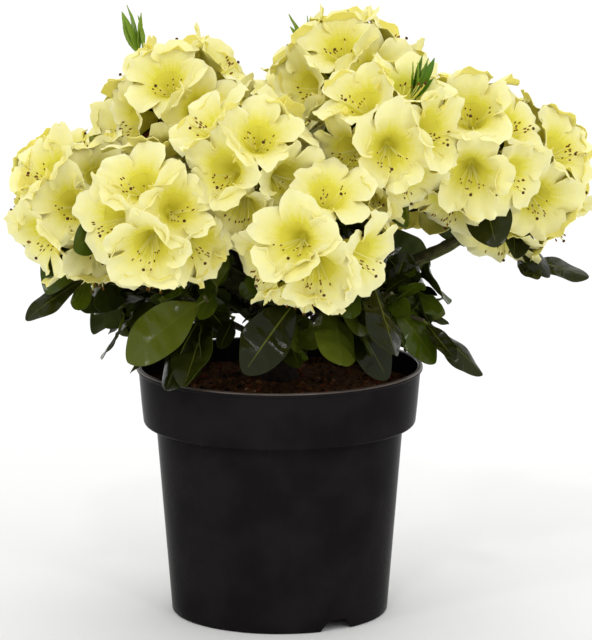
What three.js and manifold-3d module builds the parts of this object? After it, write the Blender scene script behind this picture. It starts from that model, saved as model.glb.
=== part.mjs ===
// A low, wide rhododendron in full flower, growing in a black nursery pot of compost.
// Millimetres, +Z up, -Y is the front. The origin is the middle of the pot's flat underside.
// The trunk forks into boughs, and each bough carries one truss: a leafy stem that ends in a
// dome of funnel flowers. Leafy sprays without flowers fill the space between trunk and trusses.

import * as THREE from 'three';
import { mergeVertices } from 'three/addons/utils/BufferGeometryUtils.js';
import Module from 'manifold-3d';

const wasm = await Module();
wasm.setup();

// Driving dimensions

const GAP = 0.3; // clearance between pieces that meet
const SEED = 11;
const GOLDEN_ANGLE = 137.508; // degrees from one flower or leaf to the next round its stem

const POT = {
  height: 196,
  rimRadius: 112.5,
  lip: 1.6, // how far the rolled lip stands out of the band
  lipHeight: 3.2,
  bandHeight: 46,
  bandFootRadius: 107,
  bandRound: 3,
  bodyTopRadius: 97,
  footRadius: 85,
  wall: 2.4,
  skirtHeight: 9, // the floor is raised by this, except at the disc it stands on
  standRadius: 50,
  sides: 32,
};

const NOTCH = { count: 2, bearing: 302, topWidth: 16, footWidth: 28, height: 8, depth: 10 };

const SOIL = { edgeDrop: 19, crownDrop: 12, flatRadius: 24 }; // drops are below the pot's rim

const TRUNK = { rise: 80, footRadius: 14, radius: 10.5, headRadius: 9, leanX: 4, leanY: -3, sides: 10 };

const BOUGH = { rootRadius: 4.6, tipRadius: 2.9, sides: 5, steps: 5, rise: 0.8, reach: 0.4, settle: 0.3 };
const SIDE_BOUGH = { rootRadius: 3.8, swing: 1.2 };

const STEM = { rootRadius: 2.8, tipRadius: 2.6, length: 44, sides: 3 };

const FLOWER = {
  rachis: 14, // the length of stem, up to just above the hub, that carries the flowers
  rachisTop: 7,
  pedicel: 21,
  pedicelRadius: 1.4,
  lobes: 5,
  throatRadius: 12,
  throatDepth: 19,
  notchRadius: 26,
  notchDepth: 27,
  shoulderRadius: 35,
  shoulderDepth: 29,
  shoulderAngle: 21, // degrees either side of the middle of a lobe
  floorDepth: 9, // of the funnel's inner end, ahead of its outer end
  nod: 0.16, // how much a flower low on the truss hangs its head
  polar: 104, // degrees from the truss's axis to its lowest flowers
  sizeFrom: 0.94,
  sizeBy: 0.14,
  mostSqueeze: 22, // a flower pressed further than this into another mass's space is left out
  petalGap: 0.4,
  settlePasses: 8,
  leastApart: 27, // between the mouths of two flowers of one truss
  turns: [0, 0.3, 0.6], // how far a crowded flower turns away from its neighbours
};

const LEAF = {
  length: 56,
  lengthBy: 14,
  width: 0.56, // share of the length
  thickness: 1.5,
  stalk: 0.8, // half width where it leaves the stem
  stations: [0, 0.45, 0.8, 1],
  halfWidths: [0, 0.43, 0.46, 0], // shares of the width
  droop: 0.2,
  tilt: { truss: 104, spray: 78 }, // degrees between a leaf and the stem it grows from
  tiltBy: 30,
  steepest: 36, // degrees below the level at which a leaf can leave its stem
  whorl: 4,
  firstBelowHub: 10,
  whorlDepth: 22,
  shorter: [1, 0.82, 0.66], // lengths tried where the full one doesn't fit
  swings: [0, 28, -28], // degrees that a crowded leaf may swing round its stem
  limbClearance: 1.2,
  soilClearance: 16, // above the rim, so that the compost shows under the leaves
  soilView: 128, // how far from the pot's axis that clearance is kept
};

const SHOOT = {
  leaves: 3,
  leafLength: 40,
  leafWidth: 0.17,
  splay: 24, // degrees that a leaf stands away from the twig
  upright: 0.4, // how far it then turns upward
  twigRadius: 1.9,
  start: 8, // where the twig leaves the stem, below the hub
  stagger: 2.5,
};

// A low side twig and the two leaves at its tip.
const LOW_TWIG = {
  start: 6, // where the twig leaves the stem, above its foot
  radius: 1.7,
  lengths: [58, 40],
  width: 0.4,
  droop: 0.12,
  face: 28, // degrees that the leaves turn from facing up to facing the front
};

const SPRAY = {
  stemRadius: 2.2,
  twigRadius: 1.7,
  joins: [0.5, 0.66, 0.8], // where the side twigs leave the stem, as shares of its length
  yaws: [48, -52, 30], // degrees that each side twig turns from the stem's way
  rise: 0.18, // how much a side twig turns upward
  twig: 46,
  twigBy: 14,
  whorlDepth: 16,
};

const FRONT = 270; // the bearing of the side that is seen first

const CLAIM = { truss: 64, spray: 50 }; // shares of the space between two masses

// Each truss: where its hub lies round the trunk, how far its axis leans and toward which bearing,
// the turn and count of its flowers, what its bough grows from and where, and its young shoot and
// low twig, if any. A low twig has the yaws of its leaves and how far they dip.
// A bearing is in degrees from +X. A bough on the trunk joins it at a height above the soil,
// and one on another bough at a share of that bough's length.
const TRUSSES = [
  {
    name: 'centre', bearing: 260, reach: 112, height: 368, lean: 32, toward: 290,
    flowers: 10, spin: 60, from: 'trunk', joins: 38,
  },
  {
    name: 'left', bearing: 199, reach: 155, height: 328, lean: 70, toward: 240,
    flowers: 13, spin: 168, from: 'trunk', joins: 46,
    shoot: { tilt: 12, toward: 100, length: 50 },
    twig: { tilt: 143, toward: 235, length: 51, yaws: [-34, 20], dip: 0.4 },
  },
  {
    name: 'right', bearing: 2, reach: 185, height: 344, lean: 38, toward: 330,
    flowers: 11, spin: 78, from: 'trunk', joins: 40,
    twig: { tilt: 150, toward: 352, length: 42, yaws: [8, -58], dip: 0.12 },
  },
  {
    name: 'lower_left', bearing: 231, reach: 144, height: 333, lean: 90, toward: 308,
    flowers: 10, spin: 108, from: 'trunk', joins: 58,
  },
  {
    name: 'upper_left', bearing: 188, reach: 76, height: 395, lean: 18, toward: 264,
    flowers: 11, spin: 12, from: 'back_left', joins: 0.35,
    shoot: { tilt: 34, toward: 160, length: 56 },
  },
  {
    name: 'top', bearing: 11, reach: 57, height: 414, lean: 12, toward: 275,
    flowers: 12, spin: 18, from: 'trunk', joins: 79,
    shoot: { tilt: 46, toward: 180, length: 35 },
  },
  {
    name: 'centre_right', bearing: 317, reach: 107, height: 384, lean: 58, toward: 310,
    flowers: 12, spin: 120, from: 'trunk', joins: 59,
    shoot: { tilt: 40, toward: 330, length: 44 },
  },
  {
    name: 'lower_centre', bearing: 282, reach: 126, height: 321, lean: 80, toward: 262,
    flowers: 9, spin: 336, from: 'centre_right', joins: 0.45,
  },
  {
    name: 'back_left', bearing: 140, reach: 125, height: 352, lean: 38, toward: 140,
    flowers: 8, spin: 0, from: 'trunk', joins: 60,
  },
  {
    name: 'back', bearing: 90, reach: 92, height: 352, lean: 30, toward: 90,
    flowers: 8, spin: 0, from: 'trunk', joins: 44,
  },
  {
    name: 'back_right', bearing: 39, reach: 139, height: 342, lean: 40, toward: 50,
    flowers: 8, spin: 0, from: 'trunk', joins: 58,
  },
  {
    name: 'right_front', bearing: 345, reach: 154, height: 370, lean: 28, toward: 244,
    flowers: 11, spin: 144, from: 'right', joins: 0.32,
  },
  {
    name: 'left_back', bearing: 159, reach: 163, height: 314, lean: 54, toward: 165,
    flowers: 8, spin: 0, from: 'left', joins: 0.45,
  },
  {
    name: 'low_back', bearing: 113, reach: 150, height: 314, lean: 58, toward: 112,
    flowers: 8, spin: 0, from: 'back', joins: 0.45,
  },
  {
    name: 'low_back_right', bearing: 72, reach: 159, height: 306, lean: 60, toward: 72,
    flowers: 8, spin: 0, from: 'back_right', joins: 0.4,
  },
];

// Each leafy spray: where its hub lies round the trunk, the height at which it leaves the trunk, and
// how many leaves try to grow at its tip and at the tip of each side twig. One also has a low twig.
const SPRAYS = [
  { name: 'front_left', bearing: 231, reach: 98, height: 258, joins: 24, leaves: 6, sideLeaves: 3 },
  { name: 'front_right', bearing: 301, reach: 92, height: 270, joins: 20, leaves: 6, sideLeaves: 3 },
  {
    name: 'right', bearing: 353, reach: 97, height: 256, joins: 22, leaves: 4, sideLeaves: 2,
    twig: { start: 84, tilt: 98, toward: 322, length: 47, yaws: [31, -9], dip: 0.68 },
  },
  { name: 'back_right', bearing: 50, reach: 110, height: 260, joins: 22, leaves: 3, sideLeaves: 2 },
  { name: 'back_left', bearing: 126, reach: 106, height: 260, joins: 22, leaves: 2, sideLeaves: 2 },
  { name: 'left', bearing: 187, reach: 108, height: 262, joins: 26, leaves: 5, sideLeaves: 2 },
  { name: 'front', bearing: 268, reach: 74, height: 257, joins: 30, leaves: 8, sideLeaves: 3 },
];

const LOOKS = {
  pot: { color: 0x1c1b1c, roughness: 0.45, metalness: 0 },
  soil: { color: 0x24170f, roughness: 1, metalness: 0 },
  bark: { color: 0x5a4a35, roughness: 0.9, metalness: 0 },
  truss: { color: 0xefe79a, roughness: 0.6, metalness: 0 },
  spray: { color: 0x2c3a10, roughness: 0.4, metalness: 0 },
};

// Directions and random numbers

const UP = new THREE.Vector3(0, 0, 1);
const radians = THREE.MathUtils.degToRad;

// The horizontal direction at a bearing.
function heading(bearing) {
  return new THREE.Vector3(Math.cos(radians(bearing)), Math.sin(radians(bearing)), 0);
}

// The direction that tilts from the vertical towards a bearing.
function leaning(tilt, bearing) {
  const angle = radians(tilt);
  return heading(bearing).multiplyScalar(Math.sin(angle)).addScaledVector(UP, Math.cos(angle));
}

// Two directions square to an axis and to each other.
function squareTo(axis) {
  const reference = Math.abs(axis.z) > 0.95 ? new THREE.Vector3(1, 0, 0) : UP;
  const side = new THREE.Vector3().crossVectors(axis, reference).normalize();
  return [side, new THREE.Vector3().crossVectors(axis, side)];
}

// The direction at a polar angle from an axis and an angle round it, in degrees.
function around(axis, polar, turn) {
  const [side, ahead] = squareTo(axis);
  return axis.clone().multiplyScalar(Math.cos(radians(polar)))
    .addScaledVector(side, Math.sin(radians(polar)) * Math.cos(radians(turn)))
    .addScaledVector(ahead, Math.sin(radians(polar)) * Math.sin(radians(turn)));
}

// A repeatable stream of numbers from 0 to 1.
function stream(seed) {
  let state = Math.imul(seed, 2654435761) >>> 0;
  return () => {
    state = (Math.imul(1664525, state) + 1013904223) >>> 0;
    return state / 4294967296;
  };
}

// Solids

function solidOf(geometry) {
  const bare = new THREE.BufferGeometry()
    .setAttribute('position', geometry.getAttribute('position'))
    .setIndex(geometry.index);
  const merged = mergeVertices(bare, 1e-4);
  return new wasm.Manifold(new wasm.Mesh({
    numProp: 3,
    vertProperties: merged.getAttribute('position').array,
    triVerts: new Uint32Array(merged.index.array),
  }));
}

function geometryOf(solid) {
  const mesh = solid.getMesh();
  return new THREE.BufferGeometry()
    .setAttribute('position', new THREE.BufferAttribute(mesh.vertProperties, 3))
    .setIndex(new THREE.BufferAttribute(mesh.triVerts, 1));
}

// One solid from several: sealed hollows are filled and loose scraps dropped.
function fuse(solids) {
  const joined = solids.reduce((whole, piece) => whole.add(piece));
  return joined.decompose().reduce((largest, body) => (body.volume() > largest.volume() ? body : largest));
}

// A closed skin over rings of points that run counterclockwise about the way they follow each other.
// The last ring may be a single point.
function loft(rings) {
  const n = rings[0].length;
  const triangles = [];
  for (let j = 1; j + 1 < n; j++) triangles.push(0, j + 1, j);
  rings.slice(1).forEach((ring, i) => {
    const a = i * n;
    const b = a + n;
    for (let j = 0; j < n; j++) {
      const k = (j + 1) % n;
      if (ring.length === 1) triangles.push(a + j, a + k, b);
      else triangles.push(a + j, a + k, b + k, a + j, b + k, b + j);
    }
  });
  if (rings.at(-1).length === n) {
    const a = (rings.length - 1) * n;
    for (let j = 1; j + 1 < n; j++) triangles.push(a, a + j, a + j + 1);
  }
  return new THREE.BufferGeometry().setFromPoints(rings.flat()).setIndex(triangles);
}

function ring(centre, along, radius, sides) {
  const [side, ahead] = squareTo(along);
  return Array.from({ length: sides }, (_, i) => {
    const angle = (2 * Math.PI * i) / sides;
    return centre.clone()
      .addScaledVector(side, radius * Math.cos(angle))
      .addScaledVector(ahead, radius * Math.sin(angle));
  });
}

// A straight tapering stick.
function stick(from, to, fromRadius, toRadius, sides) {
  const along = to.clone().sub(from).normalize();
  return solidOf(loft([ring(from, along, fromRadius, sides), ring(to, along, toRadius, sides)]));
}

// Pot and soil

const { mapLinear } = THREE.MathUtils;
const bandFoot = POT.height - POT.bandHeight;
const bandTopRadius = POT.rimRadius - POT.lip;
const bodyRadius = (z) => mapLinear(z, 0, bandFoot, POT.footRadius, POT.bodyTopRadius);
const bandRadius = (z) => mapLinear(z, bandFoot, POT.height, POT.bandFootRadius, bandTopRadius);
const soilEdge = POT.height - SOIL.edgeDrop;
const soilTop = POT.height - SOIL.crownDrop;
const floorTop = POT.skirtHeight + POT.wall;
const innerStand = POT.standRadius - POT.wall;
const standSlope = 4; // how far the side of the standing disc runs out

function lathe(profile) {
  const points = profile.map(([r, z]) => new THREE.Vector2(r, z));
  return new THREE.LatheGeometry(points, POT.sides).rotateX(Math.PI / 2);
}

function potSolid() {
  const { height, wall, lip, lipHeight, bandRound, skirtHeight, standRadius, footRadius } = POT;
  const shell = solidOf(lathe([
    [0, 0],
    [standRadius, 0],
    [standRadius + standSlope, skirtHeight],
    [bodyRadius(skirtHeight) - wall, skirtHeight],
    [footRadius - wall, 0],
    [footRadius, 0],
    [bodyRadius(bandFoot), bandFoot],
    [POT.bandFootRadius - bandRound, bandFoot],
    [bandRadius(bandFoot + bandRound), bandFoot + bandRound],
    [bandRadius(height - lipHeight), height - lipHeight],
    [POT.rimRadius, height - lipHeight / 2],
    [POT.rimRadius - lip / 2, height],
    [POT.rimRadius - lip - wall, height],
    [bandRadius(bandFoot + bandRound) - wall, bandFoot + bandRound + wall / 2],
    [bodyRadius(bandFoot + wall) - wall, bandFoot + wall],
    [bodyRadius(floorTop) - wall, floorTop],
    [standRadius + standSlope - wall, floorTop],
    [innerStand, wall],
    [0, wall],
  ]));
  const notch = notchSolid();
  const turns = Array.from({ length: NOTCH.count }, (_, i) => NOTCH.bearing + (360 / NOTCH.count) * i);
  return turns.reduce((pot, turn) => pot.subtract(notch.rotate(0, 0, turn)), shell);
}

// A wedge that cuts one drainage notch through the skirt, on the +X side.
function notchSolid() {
  const outline = new THREE.Shape();
  outline.moveTo(-NOTCH.footWidth / 2, -1);
  outline.lineTo(NOTCH.footWidth / 2, -1);
  outline.lineTo(NOTCH.topWidth / 2, NOTCH.height);
  outline.lineTo(-NOTCH.topWidth / 2, NOTCH.height);
  outline.closePath();
  const block = new THREE.ExtrudeGeometry(outline, { depth: 2 * NOTCH.depth, bevelEnabled: false });
  block.rotateX(Math.PI / 2).rotateZ(Math.PI / 2).translate(POT.footRadius - NOTCH.depth, 0, 0);
  return solidOf(block);
}

function soilSolid() {
  const inset = POT.wall + GAP;
  return solidOf(lathe([
    [0, POT.wall + GAP],
    [innerStand - GAP, POT.wall + GAP],
    [POT.standRadius + standSlope - inset, floorTop + GAP],
    [bodyRadius(floorTop) - inset, floorTop + GAP],
    [bodyRadius(bandFoot) - inset, bandFoot + POT.wall + GAP],
    [bandRadius(bandFoot + POT.bandRound) - inset, bandFoot + POT.bandRound + POT.wall + GAP],
    [bandRadius(soilEdge) - inset, soilEdge],
    [SOIL.flatRadius, soilTop],
    [0, soilTop],
  ]));
}

// Trunk and boughs

const trunkFoot = soilTop + GAP;
const trunkAt = (rise) => new THREE.Vector3(TRUNK.leanX, TRUNK.leanY, 0)
  .multiplyScalar(rise / TRUNK.rise).addScaledVector(UP, trunkFoot + rise);

function trunkSolid(extra) {
  const sections = [
    [0, TRUNK.footRadius],
    [TRUNK.rise * 0.1, TRUNK.radius + 1],
    [TRUNK.rise * 0.3, TRUNK.radius],
    [TRUNK.rise * 0.85, TRUNK.headRadius],
    [TRUNK.rise, TRUNK.headRadius * 0.6],
  ];
  return solidOf(loft(sections.map(([rise, radius], i) => {
    const reach = i === sections.length - 1 ? extra : 0;
    return ring(trunkAt(rise + reach), UP, radius + extra, TRUNK.sides);
  })));
}

// A limb's line and taper.
function limb(start, startWay, end, endWay, rootRadius, tipRadius) {
  const span = start.distanceTo(end);
  const curve = new THREE.CubicBezierCurve3(
    start,
    start.clone().addScaledVector(startWay, BOUGH.reach * span),
    end.clone().addScaledVector(endWay, -BOUGH.settle * span),
    end,
  );
  return { curve, radiusAt: (t) => THREE.MathUtils.lerp(rootRadius, tipRadius, t) };
}

function limbSolid(piece, extra) {
  const { curve } = piece;
  const rings = Array.from({ length: BOUGH.steps + 1 }, (_, i) => {
    const t = i / BOUGH.steps;
    return ring(curve.getPoint(t), curve.getTangent(t), piece.radiusAt(t) + extra, BOUGH.sides);
  });
  return solidOf(loft(rings));
}

// Masses: trusses and sprays, each with a hub, an axis and the foot of its stem

function trussMass(row, index) {
  const hub = heading(row.bearing).multiplyScalar(row.reach).addScaledVector(UP, row.height);
  const axis = leaning(row.lean, row.toward);
  const foot = hub.clone().addScaledVector(axis, -STEM.length);
  return { ...row, kind: 'truss', hub, axis, foot, random: stream(SEED + index) };
}

function sprayMass(row, index) {
  const hub = heading(row.bearing).multiplyScalar(row.reach).addScaledVector(UP, row.height);
  const foot = trunkAt(row.joins);
  const axis = hub.clone().sub(foot).normalize();
  return { ...row, kind: 'spray', hub, axis, foot, random: stream(SEED + TRUSSES.length + index) };
}

const trusses = TRUSSES.map(trussMass);
const sprays = SPRAYS.map(sprayMass);
const masses = [...trusses, ...sprays];

// Boughs in an order that makes each one after the bough it grows from.
const boughs = new Map();
function boughFor(truss) {
  if (boughs.has(truss.name)) return boughs.get(truss.name);
  const end = truss.foot.clone().addScaledVector(truss.axis, -GAP);
  let made;
  if (truss.from === 'trunk') {
    const start = trunkAt(truss.joins);
    const out = end.clone().sub(start).setZ(0).normalize();
    const way = out.addScaledVector(UP, BOUGH.rise).normalize();
    made = limb(start, way, end, truss.axis, BOUGH.rootRadius, BOUGH.tipRadius);
  } else {
    const parent = boughFor(trusses.find((other) => other.name === truss.from));
    const start = parent.curve.getPoint(truss.joins);
    const out = end.clone().sub(start).normalize();
    const way = out.multiplyScalar(SIDE_BOUGH.swing).add(parent.curve.getTangent(truss.joins)).normalize();
    made = limb(start, way, end, truss.axis, SIDE_BOUGH.rootRadius, BOUGH.tipRadius);
    made.parent = parent;
  }
  boughs.set(truss.name, made);
  return made;
}
trusses.forEach(boughFor);

// Space: a mass keeps to its own side of a plane between it and each other mass

for (const mass of masses) {
  mass.walls = masses.filter((other) => other !== mass).map((other) => {
    const normal = other.hub.clone().sub(mass.hub);
    const apart = normal.length();
    normal.divideScalar(apart);
    const share = CLAIM[mass.kind] / (CLAIM[mass.kind] + CLAIM[other.kind]);
    const point = mass.hub.clone().addScaledVector(normal, share * apart - GAP);
    return { normal, offset: normal.dot(point) };
  });
}

const beyond = (wall, point) => wall.normal.dot(point) - wall.offset;
const within = (mass, point) => mass.walls.every((wall) => beyond(wall, point) <= 0);

// Limbs as chains of tapering capsules, for keeping leaves and petals off them.
const CHAIN_STEPS = 12;
const chains = [...boughs.values()].map((piece) => Array.from({ length: CHAIN_STEPS + 1 }, (_, i) => ({
  point: piece.curve.getPoint(i / CHAIN_STEPS),
  radius: piece.radiusAt(i / CHAIN_STEPS),
})));
chains.push([0, TRUNK.rise].map((rise) => ({ point: trunkAt(rise), radius: TRUNK.footRadius })));

function clearOfLimbs(point) {
  const line = new THREE.Line3();
  const nearest = new THREE.Vector3();
  return chains.every((chain) => chain.slice(1).every((end, i) => {
    line.set(chain[i].point, end.point).closestPointToPoint(point, true, nearest);
    return nearest.distanceTo(point) > chain[i].radius + LEAF.limbClearance;
  }));
}

function clearOfPot(point) {
  return Math.hypot(point.x, point.y) > LEAF.soilView || point.z > POT.height + LEAF.soilClearance;
}

// Leaves

function leafPoint(leaf, station, across, lift) {
  return leaf.root.clone()
    .addScaledVector(leaf.way, station * leaf.length)
    .addScaledVector(UP, -leaf.droop * leaf.length * station * station)
    .addScaledVector(leaf.side, across)
    .addScaledVector(leaf.face, lift);
}

function leafHalfWidth(leaf, station) {
  const { stations, halfWidths } = LEAF;
  const i = Math.max(1, stations.findIndex((s) => station <= s));
  const share = mapLinear(station, stations[i - 1], stations[i], halfWidths[i - 1], halfWidths[i]);
  return Math.max(LEAF.stalk, share * leaf.length * leaf.width);
}

function makeLeaf(root, way, axis, length, width, droop) {
  const face = axis.clone().addScaledVector(way, -axis.dot(way)).normalize();
  const side = new THREE.Vector3().crossVectors(face, way);
  return { root, way, face, side, length, width, droop };
}

const LEAF_TESTS = [0.2, 0.3, 0.4, 0.52, 0.64, 0.76, 0.88, 1];
function leafFits(mass, leaf) {
  return LEAF_TESTS.every((station) => {
    const half = leafHalfWidth(leaf, station);
    return [-1, -0.5, 0, 0.5, 1].every((across) => {
      const point = leafPoint(leaf, station, across * half, LEAF.thickness / 2);
      return within(mass, point) && clearOfLimbs(point) && clearOfPot(point);
    });
  });
}

function leafSolid(leaf) {
  const rings = LEAF.stations.slice(0, -1).map((station) => {
    const half = leafHalfWidth(leaf, station);
    return [
      leafPoint(leaf, station, half, 0),
      leafPoint(leaf, station, 0, LEAF.thickness),
      leafPoint(leaf, station, -half, 0),
    ];
  });
  return solidOf(loft([...rings, [leafPoint(leaf, 1, 0, 0)]]));
}

// A leaf that would hang too steeply turns up and away from the trunk.
function levelled(mass, way) {
  const lift = -Math.sin(radians(LEAF.steepest)) - way.z;
  if (lift <= 0) return way;
  const out = new THREE.Vector3(mass.hub.x, mass.hub.y, 0).normalize();
  return way.addScaledVector(UP, lift).addScaledVector(out, lift).normalize();
}

// The longest leaf at that place which keeps to the mass's space, or none.
function growLeaf(mass, root, axis, tilt, turn, length) {
  for (const share of LEAF.shorter) {
    for (const swing of LEAF.swings) {
      const way = levelled(mass, around(axis, tilt, turn + swing));
      const leaf = makeLeaf(root, way, axis, length * share, LEAF.width, LEAF.droop);
      if (leafFits(mass, leaf)) return leaf;
    }
  }
  return null;
}

// Leaves set round a stem or twig, over a length of it that ends at its tip.
function growWhorl(mass, tip, axis, count, depth) {
  const leaves = [];
  const first = 360 * mass.random();
  for (let k = 0; k < count; k++) {
    const below = depth * mass.random();
    const turn = first + GOLDEN_ANGLE * k + 20 * (mass.random() - 0.5);
    const tilt = LEAF.tilt[mass.kind] + LEAF.tiltBy * (mass.random() - 0.5);
    const length = LEAF.length + LEAF.lengthBy * mass.random();
    const root = tip.clone().addScaledVector(axis, -below);
    const leaf = growLeaf(mass, root, axis, tilt, turn, length);
    if (leaf) leaves.push(leaf);
  }
  return leaves;
}

// Flowers

const PEDICEL_TURNS = [0, 120, 240]; // degrees round the stalk of its three edges

function flowerFrame(facing) {
  const up = UP.clone().addScaledVector(facing, -UP.dot(facing));
  if (up.length() < 0.2) up.set(0, -1, 0).addScaledVector(facing, facing.y);
  up.normalize();
  return { up, across: new THREE.Vector3().crossVectors(facing, up) };
}

function flowerPoint(flower, angle, radius, depth) {
  return flower.base.clone()
    .addScaledVector(flower.facing, depth * flower.size)
    .addScaledVector(flower.up, radius * flower.size * Math.cos(radians(angle)))
    .addScaledVector(flower.across, radius * flower.size * Math.sin(radians(angle)));
}

// A petal point held inside walls: a lobe that meets a neighbour stands up along the flower's way.
function holdPetal(walls, flower, point) {
  const held = point.clone();
  const lobe = (FLOWER.shoulderRadius - FLOWER.throatRadius) * flower.size;
  for (const wall of walls) {
    const over = beyond(wall, held);
    if (over <= 0) continue;
    const rise = Math.sqrt(Math.max(0, over * (2 * lobe - over)));
    held.addScaledVector(wall.normal, -over).addScaledVector(flower.facing, 0.5 * rise);
  }
  for (let pass = 0; pass < FLOWER.settlePasses; pass++) {
    for (const wall of walls) held.addScaledVector(wall.normal, -Math.max(0, beyond(wall, held)));
  }
  return held;
}

// The rim's points lobe by lobe: notch, shoulder, shoulder.
function flowerRim(flower) {
  const half = 180 / FLOWER.lobes;
  return Array.from({ length: FLOWER.lobes }, (_, lobe) => {
    const middle = flower.roll + 2 * half * lobe;
    return [
      flowerPoint(flower, middle - half, FLOWER.notchRadius, FLOWER.notchDepth),
      flowerPoint(flower, middle - FLOWER.shoulderAngle, FLOWER.shoulderRadius, FLOWER.shoulderDepth),
      flowerPoint(flower, middle + FLOWER.shoulderAngle, FLOWER.shoulderRadius, FLOWER.shoulderDepth),
    ];
  }).flat();
}

function flowerThroat(flower) {
  return Array.from({ length: FLOWER.lobes }, (_, lobe) => flowerPoint(
    flower,
    flower.roll + (360 / FLOWER.lobes) * lobe,
    FLOWER.throatRadius,
    FLOWER.throatDepth,
  ));
}

function makeFlower(mass, start, way, size, roll) {
  const sideways = Math.sqrt(Math.max(0, 1 - mass.axis.dot(way) ** 2));
  const facing = way.clone().addScaledVector(UP, -FLOWER.nod * sideways).normalize();
  const base = start.clone().addScaledVector(way, FLOWER.pedicel * size);
  return { start, way, base, facing, ...flowerFrame(facing), size, roll };
}

function flowerFits(mass, flower, others) {
  const throat = flowerThroat(flower);
  const mouth = flowerPoint(flower, 0, 0, FLOWER.throatDepth);
  const apart = others.every((other) => (
    flowerPoint(other, 0, 0, FLOWER.throatDepth).distanceTo(mouth) > FLOWER.leastApart
  ));
  return apart && clearOfLimbs(flower.base)
    && throat.every((point) => within(mass, point) && clearOfLimbs(point))
    && flowerRim(flower).every((point) => {
      const held = holdPetal(mass.walls, flower, point);
      return held.distanceTo(point) < FLOWER.mostSqueeze && clearOfLimbs(held) && clearOfPot(held);
    });
}

// A flower that its neighbours crowd out turns away from the nearest wall before it is given up.
function growFlower(mass, start, way, size, roll, others) {
  const mouth = start.clone().addScaledVector(way, (FLOWER.pedicel + FLOWER.throatDepth) * size);
  const nearest = mass.walls.reduce((a, b) => (beyond(b, mouth) > beyond(a, mouth) ? b : a));
  for (const turn of FLOWER.turns) {
    const turned = way.clone().addScaledVector(nearest.normal, -turn).normalize();
    const flower = makeFlower(mass, start, turned, size, roll);
    if (flowerFits(mass, flower, others)) return flower;
  }
  return null;
}

// Planes between a flower and each other flower of its truss, through the middle of the truss.
function petalWalls(flower, flowers) {
  const mouth = flowerPoint(flower, 0, 0, FLOWER.throatDepth);
  return flowers.filter((other) => other !== flower).map((other) => {
    const otherMouth = flowerPoint(other, 0, 0, FLOWER.throatDepth);
    const normal = other.way.clone().sub(flower.way).normalize();
    const middle = mouth.clone().add(otherMouth).multiplyScalar(0.5);
    return { normal, offset: normal.dot(middle) - FLOWER.petalGap };
  });
}

function growFlowers(mass) {
  const flowers = [];
  for (let k = 0; k < mass.flowers; k++) {
    const share = (k + 0.5) / mass.flowers;
    const polar = THREE.MathUtils.radToDeg(Math.acos(1 - share * (1 - Math.cos(radians(FLOWER.polar)))));
    const way = around(
      mass.axis,
      polar + 8 * (mass.random() - 0.5),
      mass.spin + GOLDEN_ANGLE * k + 12 * (mass.random() - 0.5),
    );
    const size = FLOWER.sizeFrom + FLOWER.sizeBy * mass.random();
    const roll = 30 * (mass.random() - 0.5);
    const start = mass.hub.clone().addScaledVector(mass.axis, FLOWER.rachisTop - 2 - FLOWER.rachis * share);
    const flower = growFlower(mass, start, way, size, roll, flowers);
    if (flower) flowers.push(flower);
  }
  return flowers.map((flower) => {
    const walls = [...petalWalls(flower, flowers), ...mass.walls];
    const rim = flowerRim(flower).map((point) => holdPetal(walls, flower, point));
    return { ...flower, rim };
  });
}

// A flower on its stalk: a funnel whose lobes thin out to a sharp rim.
function flowerSolid(flower) {
  const sides = PEDICEL_TURNS.length;
  const count = flower.rim.length;
  const stalk = [flower.start, flower.base].map((end) => (
    PEDICEL_TURNS.map((turn) => end.clone()
      .addScaledVector(flower.up, FLOWER.pedicelRadius * Math.cos(radians(flower.roll + turn)))
      .addScaledVector(flower.across, FLOWER.pedicelRadius * Math.sin(radians(flower.roll + turn))))
  ));
  const points = [...flower.rim, flowerPoint(flower, 0, 0, FLOWER.floorDepth), ...stalk.flat()];
  const foot = count + 1;
  const neck = foot + sides;
  const edge = (j) => neck + Math.floor((j * sides) / count);
  const triangles = [[foot, foot + 2, foot + 1]];
  for (let j = 0; j < count; j++) {
    const k = (j + 1) % count;
    triangles.push([count, j, k], [edge(j), k, j]);
    if (edge(k) !== edge(j)) triangles.push([edge(j), edge(k), k]);
  }
  for (let j = 0; j < sides; j++) {
    const k = (j + 1) % sides;
    triangles.push([foot + j, foot + k, neck + k], [foot + j, neck + k, neck + j]);
  }
  return solidOf(new THREE.BufferGeometry().setFromPoints(points).setIndex(triangles.flat()));
}

// Young shoots: a bare twig that rises between the flowers to a tuft of narrow leaves

function growShoot(mass) {
  const { tilt, toward, length } = mass.shoot;
  const way = leaning(tilt, toward);
  const root = mass.hub.clone().addScaledVector(mass.axis, -SHOOT.start);
  const tip = root.clone().addScaledVector(way, length + SHOOT.start);
  const leaves = [];
  for (let k = 0; k < SHOOT.leaves; k++) {
    const splay = SHOOT.splay * (0.5 + 0.7 * mass.random());
    const leafWay = around(way, splay, GOLDEN_ANGLE * k).lerp(UP, SHOOT.upright).normalize();
    const start = tip.clone().addScaledVector(way, -SHOOT.stagger * (k + 0.5));
    const leafLength = SHOOT.leafLength * (0.75 + 0.3 * mass.random());
    const leaf = makeLeaf(start, leafWay, way, leafLength, SHOOT.leafWidth, 0);
    if (leafFits(mass, leaf)) leaves.push(leaf);
  }
  return { root, tip, leaves };
}

function shootSolids(shoot) {
  return [
    stick(shoot.root, shoot.tip, SHOOT.twigRadius, SHOOT.twigRadius, STEM.sides),
    ...shoot.leaves.map(leafSolid),
  ];
}

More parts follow.
